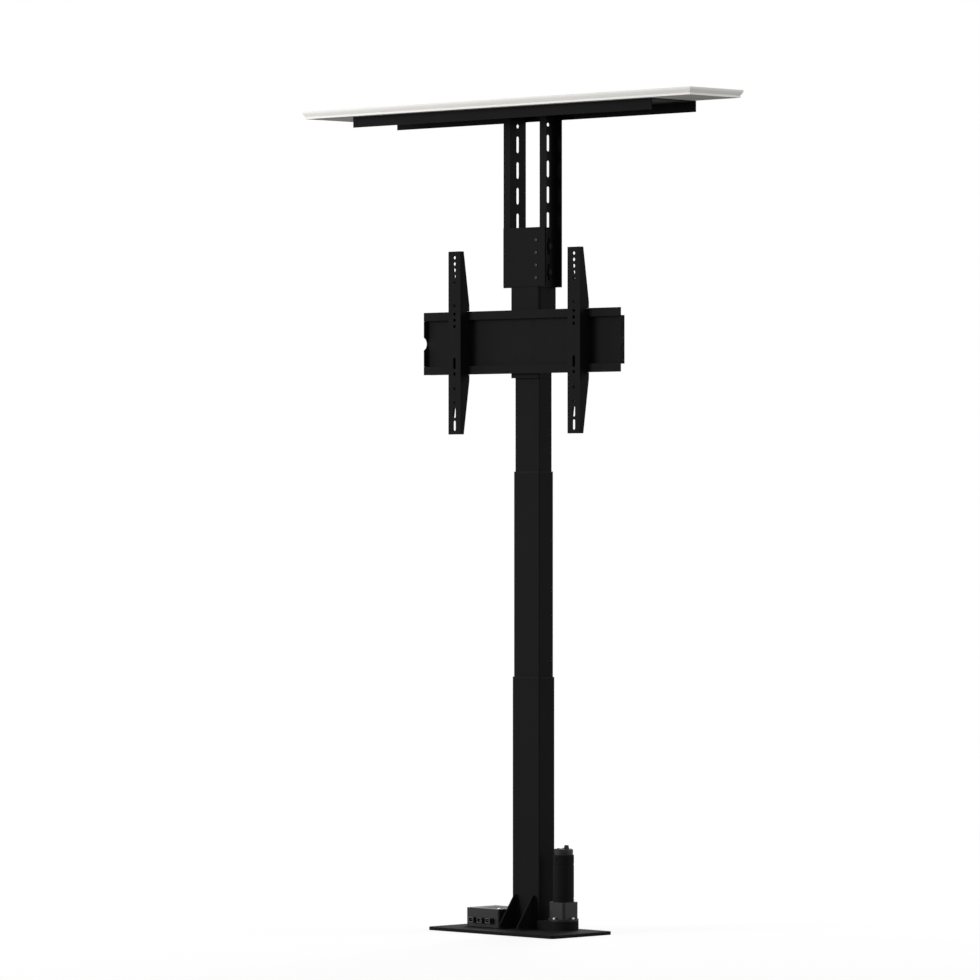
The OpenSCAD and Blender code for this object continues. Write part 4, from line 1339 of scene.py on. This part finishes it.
@dataclass
class Studio:
    """A pale floor, soft lamps and the camera."""

    camera_at: Point = (9910.0, -10057.0, 1054.0)
    camera_turn: float = 45.0
    lens: float = 217.1
    sensor: float = 36.0
    reach: float = 200.0
    floor_size: float = 120.0
    ambient: float = 0.3
    white: str = "#FFFFFF"
    # What the floor sends back to the part, and what it shows of itself
    floor_shades: tuple[str, str] = ("#747472", "#FAFAF9")
    floor_white: float = 0.8
    floor_fade: tuple[float, float] = (1.2, 4.5)
    # Front left, far left, behind on the right, and high behind on the left
    lamps: tuple[Lamp, ...] = (
        Lamp((-3400.0, -6300.0, 2500.0), width=4.0, power=397.0),
        Lamp((-6500.0, -2960.0, 2500.0), width=1.8, power=97.0),
        Lamp((4900.0, 4600.0, 3000.0), width=4.0, power=235.0),
        Lamp((-3000.0, 5000.0, 4500.0), width=4.0, power=320.0),
    )
    aim: Point = (0.0, 0.0, 1200.0)

    @staticmethod
    def shown(tree: Tree) -> Socket:
        """Gives 1 where a ray shows the background itself, to the eye or in a reflection.

        Args:
            tree: Node tree of the floor or the world.

        Returns:
            A value of 0 or 1.
        """
        path = add_node(tree, "LightPath").outputs
        shown = path["Is Camera Ray"]
        for ray in ("Is Glossy Ray", "Is Transmission Ray"):
            larger = add_node(tree, "Math", {"operation": "MAXIMUM"}, {0: shown, 1: path[ray]})
            shown = larger.outputs[0]
        return shown

    def world(self) -> None:
        """Sets a white backdrop with a plain level of light."""
        world = bpy.data.worlds.new("studio")
        bpy.context.scene.world = world
        world.use_nodes = True
        tree = world.node_tree
        tree.nodes.clear()
        span = {"To Min": self.ambient, "To Max": 1.0}
        strength = add_node(tree, "MapRange", span, {"Value": self.shown(tree)})
        links = {"Strength": strength.outputs["Result"]}
        light = add_node(tree, "Background", {"Color": linear(self.white)}, links)
        add_node(tree, "OutputWorld", None, {"Surface": light.outputs["Background"]})

    def floor(self) -> None:
        """Lays the pale floor, which keeps the shadow."""
        Bench.clear()
        bpy.ops.mesh.primitive_plane_add(size=self.floor_size)
        floor = bpy.context.object
        floor.name = "studio_floor"
        made = bpy.data.materials.new("pale_studio_floor")
        made.use_nodes = True
        tree = made.node_tree
        tree.nodes.clear()
        shown = self.shown(tree)
        ends = {"Color1": linear(self.floor_shades[0]), "Color2": linear(self.floor_shades[1])}
        colour = add_node(tree, "MixRGB", ends, {"Fac": shown})
        matt = add_node(tree, "BsdfDiffuse", None, {"Color": colour.outputs["Color"]})
        white = add_node(tree, "Emission", {"Color": linear(self.white), "Strength": 1.0})
        place = add_node(tree, "TexCoord").outputs["Object"]
        away = add_node(tree, "VectorMath", {"operation": "LENGTH"}, {0: place})
        span = {
            "From Min": self.floor_fade[0],
            "From Max": self.floor_fade[1],
            "To Min": self.floor_white,
            "To Max": 1.0,
            "interpolation_type": "SMOOTHSTEP",
        }
        fade = add_node(tree, "MapRange", span, {"Value": away.outputs["Value"]})
        factors = {0: shown, 1: fade.outputs["Result"]}
        share = add_node(tree, "Math", {"operation": "MULTIPLY"}, factors)
        layers = {"Fac": share.outputs[0], 1: matt.outputs["BSDF"], 2: white.outputs["Emission"]}
        mix = add_node(tree, "MixShader", None, layers)
        add_node(tree, "OutputMaterial", None, {"Surface": mix.outputs["Shader"]})
        floor.data.materials.append(made)

    def light(self) -> None:
        """Hangs the soft lamps."""
        for lamp in self.lamps:
            Bench.clear()
            bpy.ops.object.light_add(type="AREA", location=Vector(lamp.place) * MM)
            hung = bpy.context.object
            hung.data.shape = "DISK"
            hung.data.size = lamp.width
            hung.data.energy = lamp.power
            way = Vector(self.aim) - Vector(lamp.place)
            hung.rotation_euler = way.to_track_quat("-Z", "Y").to_euler()

    def camera(self) -> None:
        """Sets the camera at the photograph's viewing angle."""
        Bench.clear()
        turn = (math.pi / 2, 0, math.radians(self.camera_turn))
        bpy.ops.object.camera_add(location=Vector(self.camera_at) * MM, rotation=turn)
        camera = bpy.context.object
        camera.data.lens = self.lens
        camera.data.sensor_width = self.sensor
        camera.data.clip_end = self.reach
        bpy.context.scene.camera = camera

    def build(self) -> None:
        """Sets up the studio."""
        bpy.context.scene.view_settings.view_transform = "Standard"
        self.camera()
        self.world()
        self.floor()
        self.light()


def main() -> None:
    """Loads the frame, dresses each sub-assembly and sets the studio."""
    logging.basicConfig(level=logging.INFO, format="%(message)s")
    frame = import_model()
    Studio().build()
    shop = Shop(frame["nodes"])
    for assembly in (Base, Column, Head, Bracket, LidCarrier, Motor, ControlBox):
        assembly(shop).build()
    Bench.clear()


if __name__ == "__main__":
    main()
